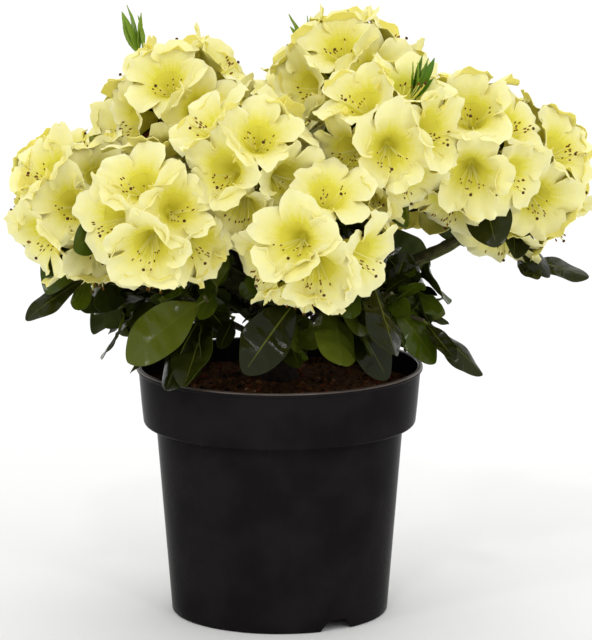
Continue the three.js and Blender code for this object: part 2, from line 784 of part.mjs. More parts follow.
// A twig that leaves the lower part of a stem and ends in two leaves.
function growLowTwig(mass) {
  const { start = LOW_TWIG.start, tilt, toward, length, yaws, dip } = mass.twig;
  const root = mass.foot.clone().addScaledVector(mass.axis, start);
  const tip = root.clone().addScaledVector(leaning(tilt, toward), length);
  const face = leaning(LOW_TWIG.face, FRONT);
  const leaves = yaws.map((yaw, k) => {
    const way = heading(toward + yaw).addScaledVector(UP, -dip).normalize();
    return makeLeaf(tip, way, face, LOW_TWIG.lengths[k], LOW_TWIG.width, LOW_TWIG.droop);
  });
  return { root, tip, leaves: leaves.filter((leaf) => leafFits(mass, leaf)) };
}

function lowTwigSolids(twig) {
  return [
    stick(twig.root, twig.tip, LOW_TWIG.radius, LOW_TWIG.radius, STEM.sides),
    ...twig.leaves.map(leafSolid),
  ];
}

function trussSolid(mass) {
  const flowers = growFlowers(mass);
  const neck = mass.hub.clone().addScaledVector(mass.axis, -LEAF.firstBelowHub);
  const leaves = growWhorl(mass, neck, mass.axis, LEAF.whorl, LEAF.whorlDepth);
  const top = mass.hub.clone().addScaledVector(mass.axis, FLOWER.rachisTop);
  return fuse([
    stick(mass.foot, top, STEM.rootRadius, STEM.tipRadius, STEM.sides),
    ...leaves.map(leafSolid),
    ...flowers.map(flowerSolid),
    ...(mass.shoot ? shootSolids(growShoot(mass)) : []),
    ...(mass.twig ? lowTwigSolids(growLowTwig(mass)) : []),
  ]);
}

// The side twigs of a spray: each leaves the stem at a yaw, and is left out where it would meet a limb.
function growTwigs(mass) {
  const twigs = [];
  SPRAY.joins.forEach((share, k) => {
    const root = mass.foot.clone().lerp(mass.hub, share);
    const way = mass.axis.clone().applyAxisAngle(UP, radians(SPRAY.yaws[k]));
    way.addScaledVector(UP, SPRAY.rise * (mass.random() - 0.5)).normalize();
    const tip = root.clone().addScaledVector(way, SPRAY.twig + SPRAY.twigBy * mass.random());
    const clear = [0.3, 0.65, 1].every((t) => clearOfLimbs(root.clone().lerp(tip, t)));
    if (clear && within(mass, tip)) twigs.push({ root, way, tip });
  });
  return twigs;
}

function spraySolid(mass, trunkCut) {
  const twigs = growTwigs(mass);
  const leaves = growWhorl(mass, mass.hub, mass.axis, mass.leaves, SPRAY.whorlDepth);
  for (const twig of twigs) {
    leaves.push(...growWhorl(mass, twig.tip, twig.way, mass.sideLeaves, SPRAY.whorlDepth));
  }
  const stem = stick(mass.foot, mass.hub, SPRAY.stemRadius, SPRAY.stemRadius, STEM.sides);
  return fuse([
    stem.subtract(trunkCut),
    ...twigs.map((twig) => stick(twig.root, twig.tip, SPRAY.twigRadius, SPRAY.twigRadius, STEM.sides)),
    ...leaves.map(leafSolid),
    ...(mass.twig ? lowTwigSolids(growLowTwig(mass)) : []),
  ]);
}

// The whole plant

const plant = new THREE.Group();

function place(name, solid, look) {
  const mesh = new THREE.Mesh(geometryOf(solid), new THREE.MeshStandardMaterial(look));
  mesh.name = name;
  plant.add(mesh);
}

place('pot', potSolid(), LOOKS.pot);
place('soil', soilSolid(), LOOKS.soil);
place('trunk', trunkSolid(0), LOOKS.bark);

const trunkCut = trunkSolid(GAP);
for (const [name, piece] of boughs) {
  const cut = piece.parent ? limbSolid(piece.parent, GAP) : trunkCut;
  place(`bough_${name}`, fuse([limbSolid(piece, 0).subtract(cut)]), LOOKS.bark);
}
for (const mass of trusses) place(`truss_${mass.name}`, trussSolid(mass), LOOKS.truss);
for (const mass of sprays) place(`spray_${mass.name}`, spraySolid(mass, trunkCut), LOOKS.spray);

export default plant;
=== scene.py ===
"""A rhododendron in full flower in a black nursery pot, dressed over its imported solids.

The plant grows by the rule that its solids follow, so every flower, leaf and stem stands where its
solid stands, and the rule is then carried on to finer twigs, leaves and blossom parts. The growth
is worked out in millimetres, and meshes are put down in metres.
"""

import logging
import math
from dataclasses import dataclass, field
from enum import Enum, IntEnum
from itertools import product

import bpy
import numpy as np
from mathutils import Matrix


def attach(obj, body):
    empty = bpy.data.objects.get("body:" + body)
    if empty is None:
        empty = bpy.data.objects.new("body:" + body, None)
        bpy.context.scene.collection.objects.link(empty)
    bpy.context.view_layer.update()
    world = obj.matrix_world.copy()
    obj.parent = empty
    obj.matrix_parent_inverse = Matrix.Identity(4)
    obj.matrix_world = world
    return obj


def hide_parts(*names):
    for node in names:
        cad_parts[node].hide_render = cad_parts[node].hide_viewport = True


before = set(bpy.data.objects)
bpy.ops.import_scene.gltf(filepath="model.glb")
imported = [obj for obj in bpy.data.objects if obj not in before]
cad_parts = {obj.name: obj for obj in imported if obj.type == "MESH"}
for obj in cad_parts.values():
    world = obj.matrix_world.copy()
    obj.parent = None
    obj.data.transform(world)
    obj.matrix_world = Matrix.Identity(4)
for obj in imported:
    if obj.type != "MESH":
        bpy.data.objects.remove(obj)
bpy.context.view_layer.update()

BODY = "root"
MM = 0.001
UP = np.array((0.0, 0.0, 1.0))
ALONG_X = np.array((1.0, 0.0, 0.0))
GAP = 0.3
SEED = 11
FINE_SEED = 2024
GOLDEN_ANGLE = 137.508
FRONT = 270.0
NEAR_UPRIGHT = 0.95
TINY = 1e-9
CREASE = 62.0
TURNED_OVER = [0, 3, 2, 1]
log = logging.getLogger("rhododendron")

Colour = tuple[float, float, float]
Pair = tuple[float, float]
Series = tuple[float, ...]
Array = np.ndarray
Random = np.random.Generator


# Directions and smooth shapes


def unit(v: Array) -> Array:
    """The direction of a vector."""
    return v / np.linalg.norm(v)


def heading(bearing: float) -> Array:
    """The horizontal direction at a bearing in degrees from +X."""
    angle = math.radians(bearing)
    return np.array((math.cos(angle), math.sin(angle), 0.0))


def leaning(tilt: float, bearing: float) -> Array:
    """The direction that tilts from the vertical towards a bearing, both in degrees."""
    angle = math.radians(tilt)
    return heading(bearing) * math.sin(angle) + UP * math.cos(angle)


def square_to(axis: Array) -> tuple[Array, Array]:
    """Two directions square to an axis and to each other."""
    side = unit(np.cross(axis, ALONG_X if abs(axis[2]) > NEAR_UPRIGHT else UP))
    return side, np.cross(axis, side)


def around(axis: Array, polar: float, turn: float) -> Array:
    """A direction set off from an axis.

    Args:
        axis: The unit direction that the angles are taken from.
        polar: Degrees away from the axis.
        turn: Degrees round the axis.

    Returns:
        The unit direction.
    """
    side, ahead = square_to(axis)
    away, round_it = math.radians(polar), math.radians(turn)
    flat = side * math.cos(round_it) + ahead * math.sin(round_it)
    return axis * math.cos(away) + flat * math.sin(away)


def smooth(x: Array, low: float, high: float) -> Array:
    """A smooth rise from 0 at low to 1 at high."""
    t = np.clip((np.asarray(x, float) - low) / (high - low), 0.0, 1.0)
    return t * t * (3.0 - 2.0 * t)


def cubic(handles: Array, t: Array | float) -> Array:
    """The points of a Bezier curve of four handles at shares of it."""
    weights = (1 - t) ** 3, 3 * t * (1 - t) ** 2, 3 * t**2 * (1 - t), t**3
    return sum(w * p for w, p in zip(weights, handles))


def bezier(handles: Array, count: int) -> Array:
    """Points along a Bezier curve.

    Args:
        handles: Its three or four handles.
        count: How many points to give.

    Returns:
        The points, from the first handle to the last.
    """
    t = np.linspace(0.0, 1.0, count)[:, None]
    if len(handles) == 4:
        return cubic(handles, t)
    return handles[0] * (1 - t) ** 2 + handles[1] * 2 * t * (1 - t) + handles[2] * t**2


def ring_angles(count: int) -> Array:
    """Even angles round a ring, in radians."""
    return np.arange(count) * 2 * math.pi / count


class Stream:
    """A repeatable stream of numbers from 0 to 1, the one that the solids are grown with."""

    def __init__(self, seed: int) -> None:
        """Starts the stream at a seed."""
        self.state = (seed * 2654435761) % 2**32

    def __call__(self) -> float:
        """The next number."""
        self.state = (1664525 * self.state + 1013904223) % 2**32
        return self.state / 2**32


@dataclass(frozen=True)
class Waves:
    """Seeded relief made of sine waves, for bark and soil."""

    steps: Array
    phases: Array
    heights: Array
    FALL = 0.8

    @classmethod
    def sown(cls, rng: Random, lengths: Series, each: int) -> "Waves":
        """Draws waves in random directions.

        Args:
            rng: The source of the directions and phases.
            lengths: Wavelengths, from the longest to the shortest.
            each: How many waves each wavelength has.

        Returns:
            The relief, with a height of about 1.
        """
        steps, heights = [], []
        for length in lengths:
            for _ in range(each):
                way = unit(rng.normal(size=3))
                steps.append(way * 2 * math.pi / length)
                heights.append((length / lengths[0]) ** cls.FALL)
        tops = np.array(heights) / np.linalg.norm(heights)
        return cls(np.array(steps), rng.uniform(0, 2 * math.pi, len(steps)), tops)

    def at(self, points: Array) -> Array:
        """The relief's height at points.

        Args:
            points: Points in an array of any shape, with x, y and z last.

        Returns:
            The height at each of them.
        """
        total = np.zeros(points.shape[:-1])
        for step, phase, height in zip(self.steps, self.phases, self.heights):
            total += height * np.sin(points @ step + phase)
        return total


# The growth rule


class Kind(Enum):
    """What a mass of the crown is: a truss of flowers or a leafy spray."""

    TRUSS = "truss"
    SPRAY = "spray"


@dataclass(frozen=True)
class Shoot:
    """A young shoot of a truss: its tilt, the bearing it leans toward and its length."""

    tilt: float
    toward: float
    length: float


@dataclass(frozen=True)
class LowTwig(Shoot):
    """A low twig, with the yaws of its leaves, how far they dip and where it leaves the stem."""

    yaws: Pair
    dip: float
    start: float = 6.0


@dataclass(frozen=True)
class TrussRow:
    """Where a truss stands, how it leans, its flowers and what its bough grows from."""

    name: str
    bearing: float
    reach: float
    height: float
    lean: float
    toward: float
    flowers: int
    spin: float
    source: str
    joins: float
    shoot: Shoot | None = None
    twig: LowTwig | None = None


@dataclass(frozen=True)
class SprayRow:
    """Where a leafy spray ends, the height at which it leaves the trunk, and its leaves.

    The leaves are counted at its tip and at the tip of each side twig.
    """

    name: str
    bearing: float
    reach: float
    height: float
    joins: float
    leaves: int
    side_leaves: int
    twig: LowTwig | None = None


TRUSSES = (
    TrussRow("centre", 260, 112, 368, 32, 290, 10, 60, "trunk", 38),
    TrussRow(
        "left", 199, 155, 328, 70, 240, 13, 168, "trunk", 46, Shoot(12, 100, 50),
        LowTwig(143, 235, 51, (-34, 20), 0.4),
    ),
    TrussRow(
        "right", 2, 185, 344, 38, 330, 11, 78, "trunk", 40, None, LowTwig(150, 352, 42, (8, -58), 0.12),
    ),
    TrussRow("lower_left", 231, 144, 333, 90, 308, 10, 108, "trunk", 58),
    TrussRow("upper_left", 188, 76, 395, 18, 264, 11, 12, "back_left", 0.35, Shoot(34, 160, 56)),
    TrussRow("top", 11, 57, 414, 12, 275, 12, 18, "trunk", 79, Shoot(46, 180, 35)),
    TrussRow("centre_right", 317, 107, 384, 58, 310, 12, 120, "trunk", 59, Shoot(40, 330, 44)),
    TrussRow("lower_centre", 282, 126, 321, 80, 262, 9, 336, "centre_right", 0.45),
    TrussRow("back_left", 140, 125, 352, 38, 140, 8, 0, "trunk", 60),
    TrussRow("back", 90, 92, 352, 30, 90, 8, 0, "trunk", 44),
    TrussRow("back_right", 39, 139, 342, 40, 50, 8, 0, "trunk", 58),
    TrussRow("right_front", 345, 154, 370, 28, 244, 11, 144, "right", 0.32),
    TrussRow("left_back", 159, 163, 314, 54, 165, 8, 0, "left", 0.45),
    TrussRow("low_back", 113, 150, 314, 58, 112, 8, 0, "back", 0.45),
    TrussRow("low_back_right", 72, 159, 306, 60, 72, 8, 0, "back_right", 0.4),
)

SPRAYS = (
    SprayRow("front_left", 231, 98, 258, 24, 6, 3),
    SprayRow("front_right", 301, 92, 270, 20, 6, 3),
    SprayRow("right", 353, 97, 256, 22, 4, 2, LowTwig(98, 322, 47, (31, -9), 0.68, 84)),
    SprayRow("back_right", 50, 110, 260, 22, 3, 2),
    SprayRow("back_left", 126, 106, 260, 22, 2, 2),
    SprayRow("left", 187, 108, 262, 26, 5, 2),
    SprayRow("front", 268, 74, 257, 30, 8, 3),
)


@dataclass(frozen=True)
class PotSizes:
    """The pot's profile and drainage notches."""

    height: float = 196.0
    rim: float = 112.5
    lip: float = 1.6
    lip_height: float = 3.2
    band_height: float = 46.0
    band_foot: float = 107.0
    band_round: float = 3.0
    body_top: float = 97.0
    foot: float = 85.0
    wall: float = 2.4
    skirt: float = 9.0
    stand: float = 50.0
    stand_slope: float = 4.0
    notches: int = 2
    notch_bearing: float = 302.0
    notch_top: float = 16.0
    notch_foot: float = 28.0
    notch_height: float = 8.0
    soil_edge_drop: float = 19.0
    soil_crown_drop: float = 12.0
    soil_flat: float = 24.0

    @property
    def band_z(self) -> float:
        """The height of the band's lower edge."""
        return self.height - self.band_height

    @property
    def soil_top(self) -> float:
        """The height of the soil at the trunk."""
        return self.height - self.soil_crown_drop

    @property
    def soil_edge(self) -> float:
        """The height of the soil at the wall."""
        return self.height - self.soil_edge_drop

    def body(self, z: float) -> float:
        """The radius of the body's outside at a height."""
        return self.foot + (self.body_top - self.foot) * z / self.band_z

    def band(self, z: float) -> float:
        """The radius of the band's outside at a height."""
        top = self.rim - self.lip
        return self.band_foot + (top - self.band_foot) * (z - self.band_z) / self.band_height


@dataclass(frozen=True)
class TrunkSizes:
    """The trunk's rise, taper and lean."""

    rise: float = 80.0
    foot: float = 14.0
    radius: float = 10.5
    head: float = 9.0
    lean_x: float = 4.0
    lean_y: float = -3.0


@dataclass(frozen=True)
class FlowerRule:
    """The sizes of a flower and how flowers share the space of a truss."""

    rachis: float = 14.0
    rachis_top: float = 7.0
    rachis_inset: float = 2.0
    pedicel: float = 21.0
    lobes: int = 5
    throat: float = 12.0
    throat_depth: float = 19.0
    notch: float = 26.0
    notch_depth: float = 27.0
    shoulder: float = 35.0
    shoulder_depth: float = 29.0
    shoulder_angle: float = 21.0
    nod: float = 0.16
    least_up: float = 0.2
    polar: float = 104.0
    polar_by: float = 8.0
    turn_by: float = 12.0
    roll_by: float = 30.0
    size_from: float = 0.94
    size_by: float = 0.14
    most_squeeze: float = 22.0
    petal_gap: float = 0.4
    stand_up: float = 0.5
    settle_passes: int = 8
    least_apart: float = 27.0
    turns: Series = (0.0, 0.3, 0.6)
    room_depths: Series = (-2.0, 0.0, 19.0, 30.0, 36.0)
    room_radii: Series = (0.0, 3.0, 14.0, 34.0, 36.0)


@dataclass(frozen=True)
class LeafRule:
    """The sizes of a leaf and how leaves stand round a stem."""

    length: float = 56.0
    length_by: float = 14.0
    width: float = 0.56
    thickness: float = 1.5
    stalk: float = 0.8
    stations: Series = (0.0, 0.45, 0.8, 1.0)
    half_widths: Series = (0.0, 0.43, 0.46, 0.0)
    droop: float = 0.2
    truss_tilt: float = 104.0
    spray_tilt: float = 78.0
    tilt_by: float = 30.0
    turn_by: float = 20.0
    steepest: float = 36.0
    whorl: int = 4
    first_below_hub: float = 10.0
    whorl_depth: float = 22.0
    shorter: Series = (1.0, 0.82, 0.66)
    swings: Series = (0.0, 28.0, -28.0)
    limb_clearance: float = 1.2
    soil_clearance: float = 16.0
    soil_view: float = 128.0
    tests: Series = (0.2, 0.3, 0.4, 0.52, 0.64, 0.76, 0.88, 1.0)
    tests_across: Series = (-1.0, -0.5, 0.0, 0.5, 1.0)
    room_first: float = 0.1
    room_tests: int = 8
    room_half: float = 0.15


@dataclass(frozen=True)
class StemRule:
    """The sizes of boughs, stems, shoots and side twigs."""

    bough_root: float = 4.6
    bough_tip: float = 2.9
    bough_rise: float = 0.8
    bough_reach: float = 0.4
    bough_settle: float = 0.3
    side_root: float = 3.8
    side_swing: float = 1.2
    stem_root: float = 2.8
    stem_tip: float = 2.6
    stem: float = 44.0
    shoot_leaves: int = 3
    shoot_leaf: float = 40.0
    shoot_leaf_from: float = 0.75
    shoot_leaf_by: float = 0.3
    shoot_width: float = 0.17
    shoot_splay: float = 24.0
    splay_from: float = 0.5
    splay_by: float = 0.7
    shoot_upright: float = 0.4
    shoot_start: float = 8.0
    shoot_stagger: float = 2.5
    low_lengths: Series = (58.0, 40.0)
    low_width: float = 0.4
    low_droop: float = 0.12
    low_face: float = 28.0
    spray_joins: Series = (0.5, 0.66, 0.8)
    spray_yaws: Series = (48.0, -52.0, 30.0)
    spray_rise: float = 0.18
    twig: float = 46.0
    twig_by: float = 14.0
    twig_tests: Series = (0.3, 0.65, 1.0)
    spray_whorl_depth: float = 16.0
    claim_truss: float = 64.0
    claim_spray: float = 50.0


@dataclass(frozen=True)
class Limb:
    """A bough's line, as a Bezier curve, and its taper."""

    handles: Array
    root: float
    tip: float

    def at(self, share: float) -> Array:
        """The point at a share of the limb."""
        return cubic(self.handles, share)

    def way(self, share: float) -> Array:
        """The direction at a share of the limb."""
        step = 0.0001
        return unit(self.at(min(1.0, share + step)) - self.at(max(0.0, share - step)))


@dataclass
class Mass:
    """A truss or spray: its hub, axis, the foot of its stem and the walls of its own space."""

    row: TrussRow | SprayRow
    kind: Kind
    hub: Array
    axis: Array
    foot: Array
    random: Stream
    normals: Array = field(default_factory=lambda: np.zeros((0, 3)))
    offsets: Array = field(default_factory=lambda: np.zeros(0))

    @property
    def node(self) -> str:
        """The name of the solid that this mass stands for."""
        return f"{self.kind.value}_{self.row.name}"

    def holds(self, points: Array) -> Array:
        """Whether each point lies in the mass's own space."""
        return (points @ self.normals.T <= self.offsets).all(axis=1)


@dataclass(frozen=True)
class Leaf:
    """A leaf's root, directions and size."""

    root: Array
    way: Array
    face: Array
    side: Array
    length: float
    width: float
    droop: float

    @classmethod
    def grown(
        cls, root: Array, way: Array, axis: Array, length: float, width: float, droop: float
    ) -> "Leaf":
        """A leaf whose upper face looks along the axis of its stem."""
        face = unit(axis - way * (axis @ way))
        return cls(root, way, face, np.cross(face, way), length, width, droop)

    def point(self, station: Array, across: Array | float, lift: Array | float) -> Array:
        """Points of the leaf.

        Args:
            station: Shares of the length from the root.
            across: Distances to the side of the midrib.
            lift: Distances above the blade.

        Returns:
            An array of points of the broadcast shape.
        """
        s, a, u = (np.asarray(x, float)[..., None] for x in np.broadcast_arrays(station, across, lift))
        line = self.root + self.way * s * self.length - UP * self.droop * self.length * s * s
        return line + self.side * a + self.face * u


@dataclass
class Flower:
    """A flower's stalk, funnel and directions, and the walls between it and its neighbours."""

    start: Array
    way: Array
    base: Array
    facing: Array
    up: Array
    across: Array
    size: float
    roll: float
    normals: Array = field(default_factory=lambda: np.zeros((0, 3)))
    offsets: Array = field(default_factory=lambda: np.zeros(0))

    LOWER_SIDE = 180.0

    def point(self, angle: Array | float, radius: Array | float, depth: Array | float) -> Array:
        """Points of the flower.

        Args:
            angle: Degrees round the flower from its upper side.
            radius: Distances from the flower's middle line, before its size is applied.
            depth: Distances ahead of its base, before its size is applied.

        Returns:
            An array of points of the broadcast shape.
        """
        parts = np.broadcast_arrays(np.radians(angle), radius, depth)
        a, r, d = (np.asarray(x, float)[..., None] for x in parts)
        ring = self.up * np.cos(a) + self.across * np.sin(a)
        return self.base + (self.facing * d + ring * r) * self.size


@dataclass
class Growth:
    """The whole plant's lines by the rule of its solids: limbs, masses, flowers and leaves."""

    pot: PotSizes = PotSizes()
    trunk: TrunkSizes = TrunkSizes()
    flower: FlowerRule = FlowerRule()
    leaf: LeafRule = LeafRule()
    stem: StemRule = StemRule()

    def __post_init__(self) -> None:
        """Sets out the masses, the boughs, and the space that each mass keeps to."""
        rows = [*TRUSSES, *SPRAYS]
        self.masses = [self.mass(row, SEED + i) for i, row in enumerate(rows)]
        self.trusses = [m for m in self.masses if m.kind is Kind.TRUSS]
        self.sprays = [m for m in self.masses if m.kind is Kind.SPRAY]
        self.boughs: dict[str, Limb] = {}
        for mass in self.trusses:
            self.bough(mass)
        self.set_walls()
        self.set_chains()

    def trunk_at(self, rise: float) -> Array:
        """The point of the trunk's middle line at a height above its foot."""
        share, foot = rise / self.trunk.rise, self.pot.soil_top + GAP
        return np.array((self.trunk.lean_x * share, self.trunk.lean_y * share, foot + rise))

    def mass(self, row: TrussRow | SprayRow, seed: int) -> Mass:
        """The mass that a row describes.

        Args:
            row: The row of a truss or a spray.
            seed: The seed of the mass's own stream of numbers.

        Returns:
            The mass, before its walls are set.
        """
        hub = heading(row.bearing) * row.reach + UP * row.height
        if isinstance(row, TrussRow):
            axis = leaning(row.lean, row.toward)
            return Mass(row, Kind.TRUSS, hub, axis, hub - axis * self.stem.stem, Stream(seed))
        foot = self.trunk_at(row.joins)
        return Mass(row, Kind.SPRAY, hub, unit(hub - foot), foot, Stream(seed))

    def bough(self, mass: Mass) -> Limb:
        """The bough that carries a truss, made after the bough that it grows from.

        Args:
            mass: The truss.

        Returns:
            The bough, which is kept for the next time.
        """
        row, rule = mass.row, self.stem
        if row.name in self.boughs:
            return self.boughs[row.name]
        end = mass.foot - mass.axis * GAP
        if row.source == "trunk":
            start = self.trunk_at(row.joins)
            out = unit((end - start) * (1.0, 1.0, 0.0))
            way, root = unit(out + UP * rule.bough_rise), rule.bough_root
        else:
            parent = self.bough(next(m for m in self.trusses if m.row.name == row.source))
            start = parent.at(row.joins)
            way = unit(unit(end - start) * rule.side_swing + parent.way(row.joins))
            root = rule.side_root
        span = np.linalg.norm(end - start)
        handles = np.array((
            start,
            start + way * rule.bough_reach * span,
            end - mass.axis * rule.bough_settle * span,
            end,
        ))
        self.boughs[row.name] = Limb(handles, root, rule.bough_tip)
        return self.boughs[row.name]

    def set_walls(self) -> None:
        """Puts a plane between each mass and every other one."""
        claim = {Kind.TRUSS: self.stem.claim_truss, Kind.SPRAY: self.stem.claim_spray}
        for mass in self.masses:
            normals, offsets = [], []
            for other in self.masses:
                if other is mass:
                    continue
                apart = np.linalg.norm(other.hub - mass.hub)
                normal = (other.hub - mass.hub) / apart
                share = claim[mass.kind] / (claim[mass.kind] + claim[other.kind])
                normals.append(normal)
                offsets.append(normal @ (mass.hub + normal * (share * apart - GAP)))
            mass.normals, mass.offsets = np.array(normals), np.array(offsets)

    def set_chains(self) -> None:
        """Splits the limbs into short straight stretches, for keeping leaves and petals off them."""
        starts, ends, radii = [], [], []
        steps = 12
        for limb in self.boughs.values():
            for i in range(steps):
                starts.append(limb.at(i / steps))
                ends.append(limb.at((i + 1) / steps))
                radii.append(limb.root + (limb.tip - limb.root) * i / steps)
        starts.append(self.trunk_at(0.0))
        ends.append(self.trunk_at(self.trunk.rise))
        radii.append(self.trunk.foot)
        self.chain = np.array(starts), np.array(ends), np.array(radii)

    def clear_of_limbs(self, points: Array) -> Array:
        """Whether points stand clear of the trunk and the boughs.

        Args:
            points: Rows of points.

        Returns:
            A yes or no for each of them.
        """
        starts, ends, radii = self.chain
        along = ends - starts
        offset = points[:, None, :] - starts[None]
        share = np.clip((offset * along).sum(-1) / (along * along).sum(-1), 0.0, 1.0)
        away = np.linalg.norm(offset - along * share[..., None], axis=-1)
        return (away > radii + self.leaf.limb_clearance).all(axis=1)

    def clear_of_pot(self, points: Array) -> Array:
        """Whether each point stands clear of the pot and its soil."""
        out = np.hypot(points[:, 0], points[:, 1]) > self.leaf.soil_view
        return out | (points[:, 2] > self.pot.height + self.leaf.soil_clearance)

    def leaf_half(self, leaf: Leaf, station: Array) -> Array:
        """Half the width of a leaf's solid at stations along it."""
        share = np.interp(station, self.leaf.stations, self.leaf.half_widths)
        return np.maximum(self.leaf.stalk, share * leaf.length * leaf.width)

    def leaf_fits(self, mass: Mass, leaf: Leaf) -> bool:
        """Whether a leaf keeps to its mass's space and off the limbs and the pot.

        Args:
            mass: The mass.
            leaf: The leaf.

        Returns:
            Whether it fits.
        """
        stations = np.array(self.leaf.tests)[:, None]
        across = np.array(self.leaf.tests_across) * self.leaf_half(leaf, stations)
        points = leaf.point(stations, across, self.leaf.thickness / 2).reshape(-1, 3)
        if not mass.holds(points).all() or not self.clear_of_pot(points).all():
            return False
        return bool(self.clear_of_limbs(points).all())

    def levelled(self, mass: Mass, way: Array) -> Array:
        """A leaf's way, turned up and away from the trunk where it would hang too steeply.

        Args:
            mass: The mass that the leaf belongs to.
            way: The direction that it would grow in.

        Returns:
            The direction that it grows in.
        """
        lift = -math.sin(math.radians(self.leaf.steepest)) - way[2]
        if lift <= 0:
            return way
        return unit(way + (UP + unit(mass.hub * (1.0, 1.0, 0.0))) * lift)

    def whorl(self, mass: Mass, tip: Array, axis: Array, count: int, depth: float) -> list[Leaf]:
        """Leaves set round a stem, over a length of it that ends at its tip.

        Args:
            mass: The mass that the leaves belong to.
            tip: The upper end of the leafy length.
            axis: The stem's direction.
            count: How many leaves try to grow.
            depth: The leafy length.

        Returns:
            The leaves that fit.
        """
        rule, leaves = self.leaf, []
        tilt_at = rule.truss_tilt if mass.kind is Kind.TRUSS else rule.spray_tilt
        first = 360 * mass.random()
        for k in range(count):
            below = depth * mass.random()
            turn = first + GOLDEN_ANGLE * k + rule.turn_by * (mass.random() - 0.5)
            tilt = tilt_at + rule.tilt_by * (mass.random() - 0.5)
            length = rule.length + rule.length_by * mass.random()
            for share, swing in product(rule.shorter, rule.swings):
                way = self.levelled(mass, around(axis, tilt, turn + swing))
                leaf = Leaf.grown(tip - axis * below, way, axis, length * share, rule.width, rule.droop)
                if self.leaf_fits(mass, leaf):
                    leaves.append(leaf)
                    break
        return leaves

    def make_flower(self, mass: Mass, start: Array, way: Array, size: float, roll: float) -> Flower:
        """A flower at the end of its stalk, nodding the more the lower it stands on the truss.

        Args:
            mass: The truss.
            start: The foot of the flower's stalk.
            way: The direction of the stalk.
            size: The flower's size, about 1.
            roll: Degrees that its first lobe stands from its upper side.

        Returns:
            The flower, before its walls are set.
        """
        sideways = math.sqrt(max(0.0, 1 - (mass.axis @ way) ** 2))
        facing = unit(way - UP * self.flower.nod * sideways)
        up = UP - facing * facing[2]
        if np.linalg.norm(up) < self.flower.least_up:
            up = np.array((0.0, -1.0, 0.0)) + facing * facing[1]
        up = unit(up)
        base = start + way * self.flower.pedicel * size
        return Flower(start, way, base, facing, up, np.cross(facing, up), size, roll)

    def mouth(self, flower: Flower) -> Array:
        """The middle of a flower's throat."""
        return flower.point(0.0, 0.0, self.flower.throat_depth)

    def rim(self, flower: Flower) -> Array:
        """A flower's rim.

        Args:
            flower: The flower.

        Returns:
            Its points lobe by lobe: notch, shoulder, shoulder.
        """
        rule, half = self.flower, 180 / self.flower.lobes
        middles = flower.roll + 2 * half * np.arange(rule.lobes)[:, None]
        angles = middles + np.array((-half, -rule.shoulder_angle, rule.shoulder_angle))
        radii = np.array((rule.notch, rule.shoulder, rule.shoulder))
        depths = np.array((rule.notch_depth, rule.shoulder_depth, rule.shoulder_depth))
        return flower.point(angles, radii, depths).reshape(-1, 3)

    def hold(self, normals: Array, offsets: Array, flower: Flower, points: Array) -> Array:
        """Holds petal points inside walls, where a lobe that meets one stands up along the flower.

        Args:
            normals: The directions that the walls face.
            offsets: How far along them the walls stand.
            flower: The flower.
            points: The points of its petals.

        Returns:
            The points where they come to lie.
        """
        held = points.copy()
        lobe = (self.flower.shoulder - self.flower.throat) * flower.size
        for normal, offset in zip(normals, offsets):
            over = np.maximum(0.0, held @ normal - offset)
            rise = np.sqrt(np.maximum(0.0, over * (2 * lobe - over)))
            held += flower.facing * (self.flower.stand_up * rise)[:, None] - normal * over[:, None]
        for _ in range(self.flower.settle_passes):
            for normal, offset in zip(normals, offsets):
                held -= normal * np.maximum(0.0, held @ normal - offset)[:, None]
        return held

    def flower_fits(self, mass: Mass, flower: Flower, others: list[Flower]) -> bool:
        """Whether a flower has room among its truss's other flowers, the limbs and the pot.

        Args:
            mass: The truss.
            flower: The flower.
            others: The flowers that it already has.

        Returns:
            Whether it fits.
        """
        rule, mouth = self.flower, self.mouth(flower)
        if any(np.linalg.norm(self.mouth(o) - mouth) <= rule.least_apart for o in others):
            return False
        angles = flower.roll + 360 / rule.lobes * np.arange(rule.lobes)
        throat = flower.point(angles, rule.throat, rule.throat_depth)
        if not self.clear_of_limbs(np.vstack((throat, flower.base))).all() or not mass.holds(throat).all():
            return False
        rim = self.rim(flower)
        held = self.hold(mass.normals, mass.offsets, flower, rim)
        if (np.linalg.norm(held - rim, axis=1) >= rule.most_squeeze).any():
            return False
        return bool(self.clear_of_limbs(held).all() and self.clear_of_pot(held).all())

    def flowers(self, mass: Mass) -> list[Flower]:
        """Grows the flowers of a truss.

        Args:
            mass: The truss.

        Returns:
            The flowers that fit, each with the walls that its petals keep behind.
        """
        rule, row, flowers = self.flower, mass.row, []
        for k in range(row.flowers):
            share = (k + 0.5) / row.flowers
            polar = math.degrees(math.acos(1 - share * (1 - math.cos(math.radians(rule.polar)))))
            polar += rule.polar_by * (mass.random() - 0.5)
            turn = row.spin + GOLDEN_ANGLE * k + rule.turn_by * (mass.random() - 0.5)
            size = rule.size_from + rule.size_by * mass.random()
            roll = rule.roll_by * (mass.random() - 0.5)
            start = mass.hub + mass.axis * (rule.rachis_top - rule.rachis_inset - rule.rachis * share)
            way = around(mass.axis, polar, turn)
            mouth = start + way * (rule.pedicel + rule.throat_depth) * size
            nearest = mass.normals[np.argmax(mass.normals @ mouth - mass.offsets)]
            for turned in rule.turns:
                flower = self.make_flower(mass, start, unit(way - nearest * turned), size, roll)
                if self.flower_fits(mass, flower, flowers):
                    flowers.append(flower)
                    break
        for flower in flowers:
            self.set_petal_walls(mass, flower, flowers)
        return flowers

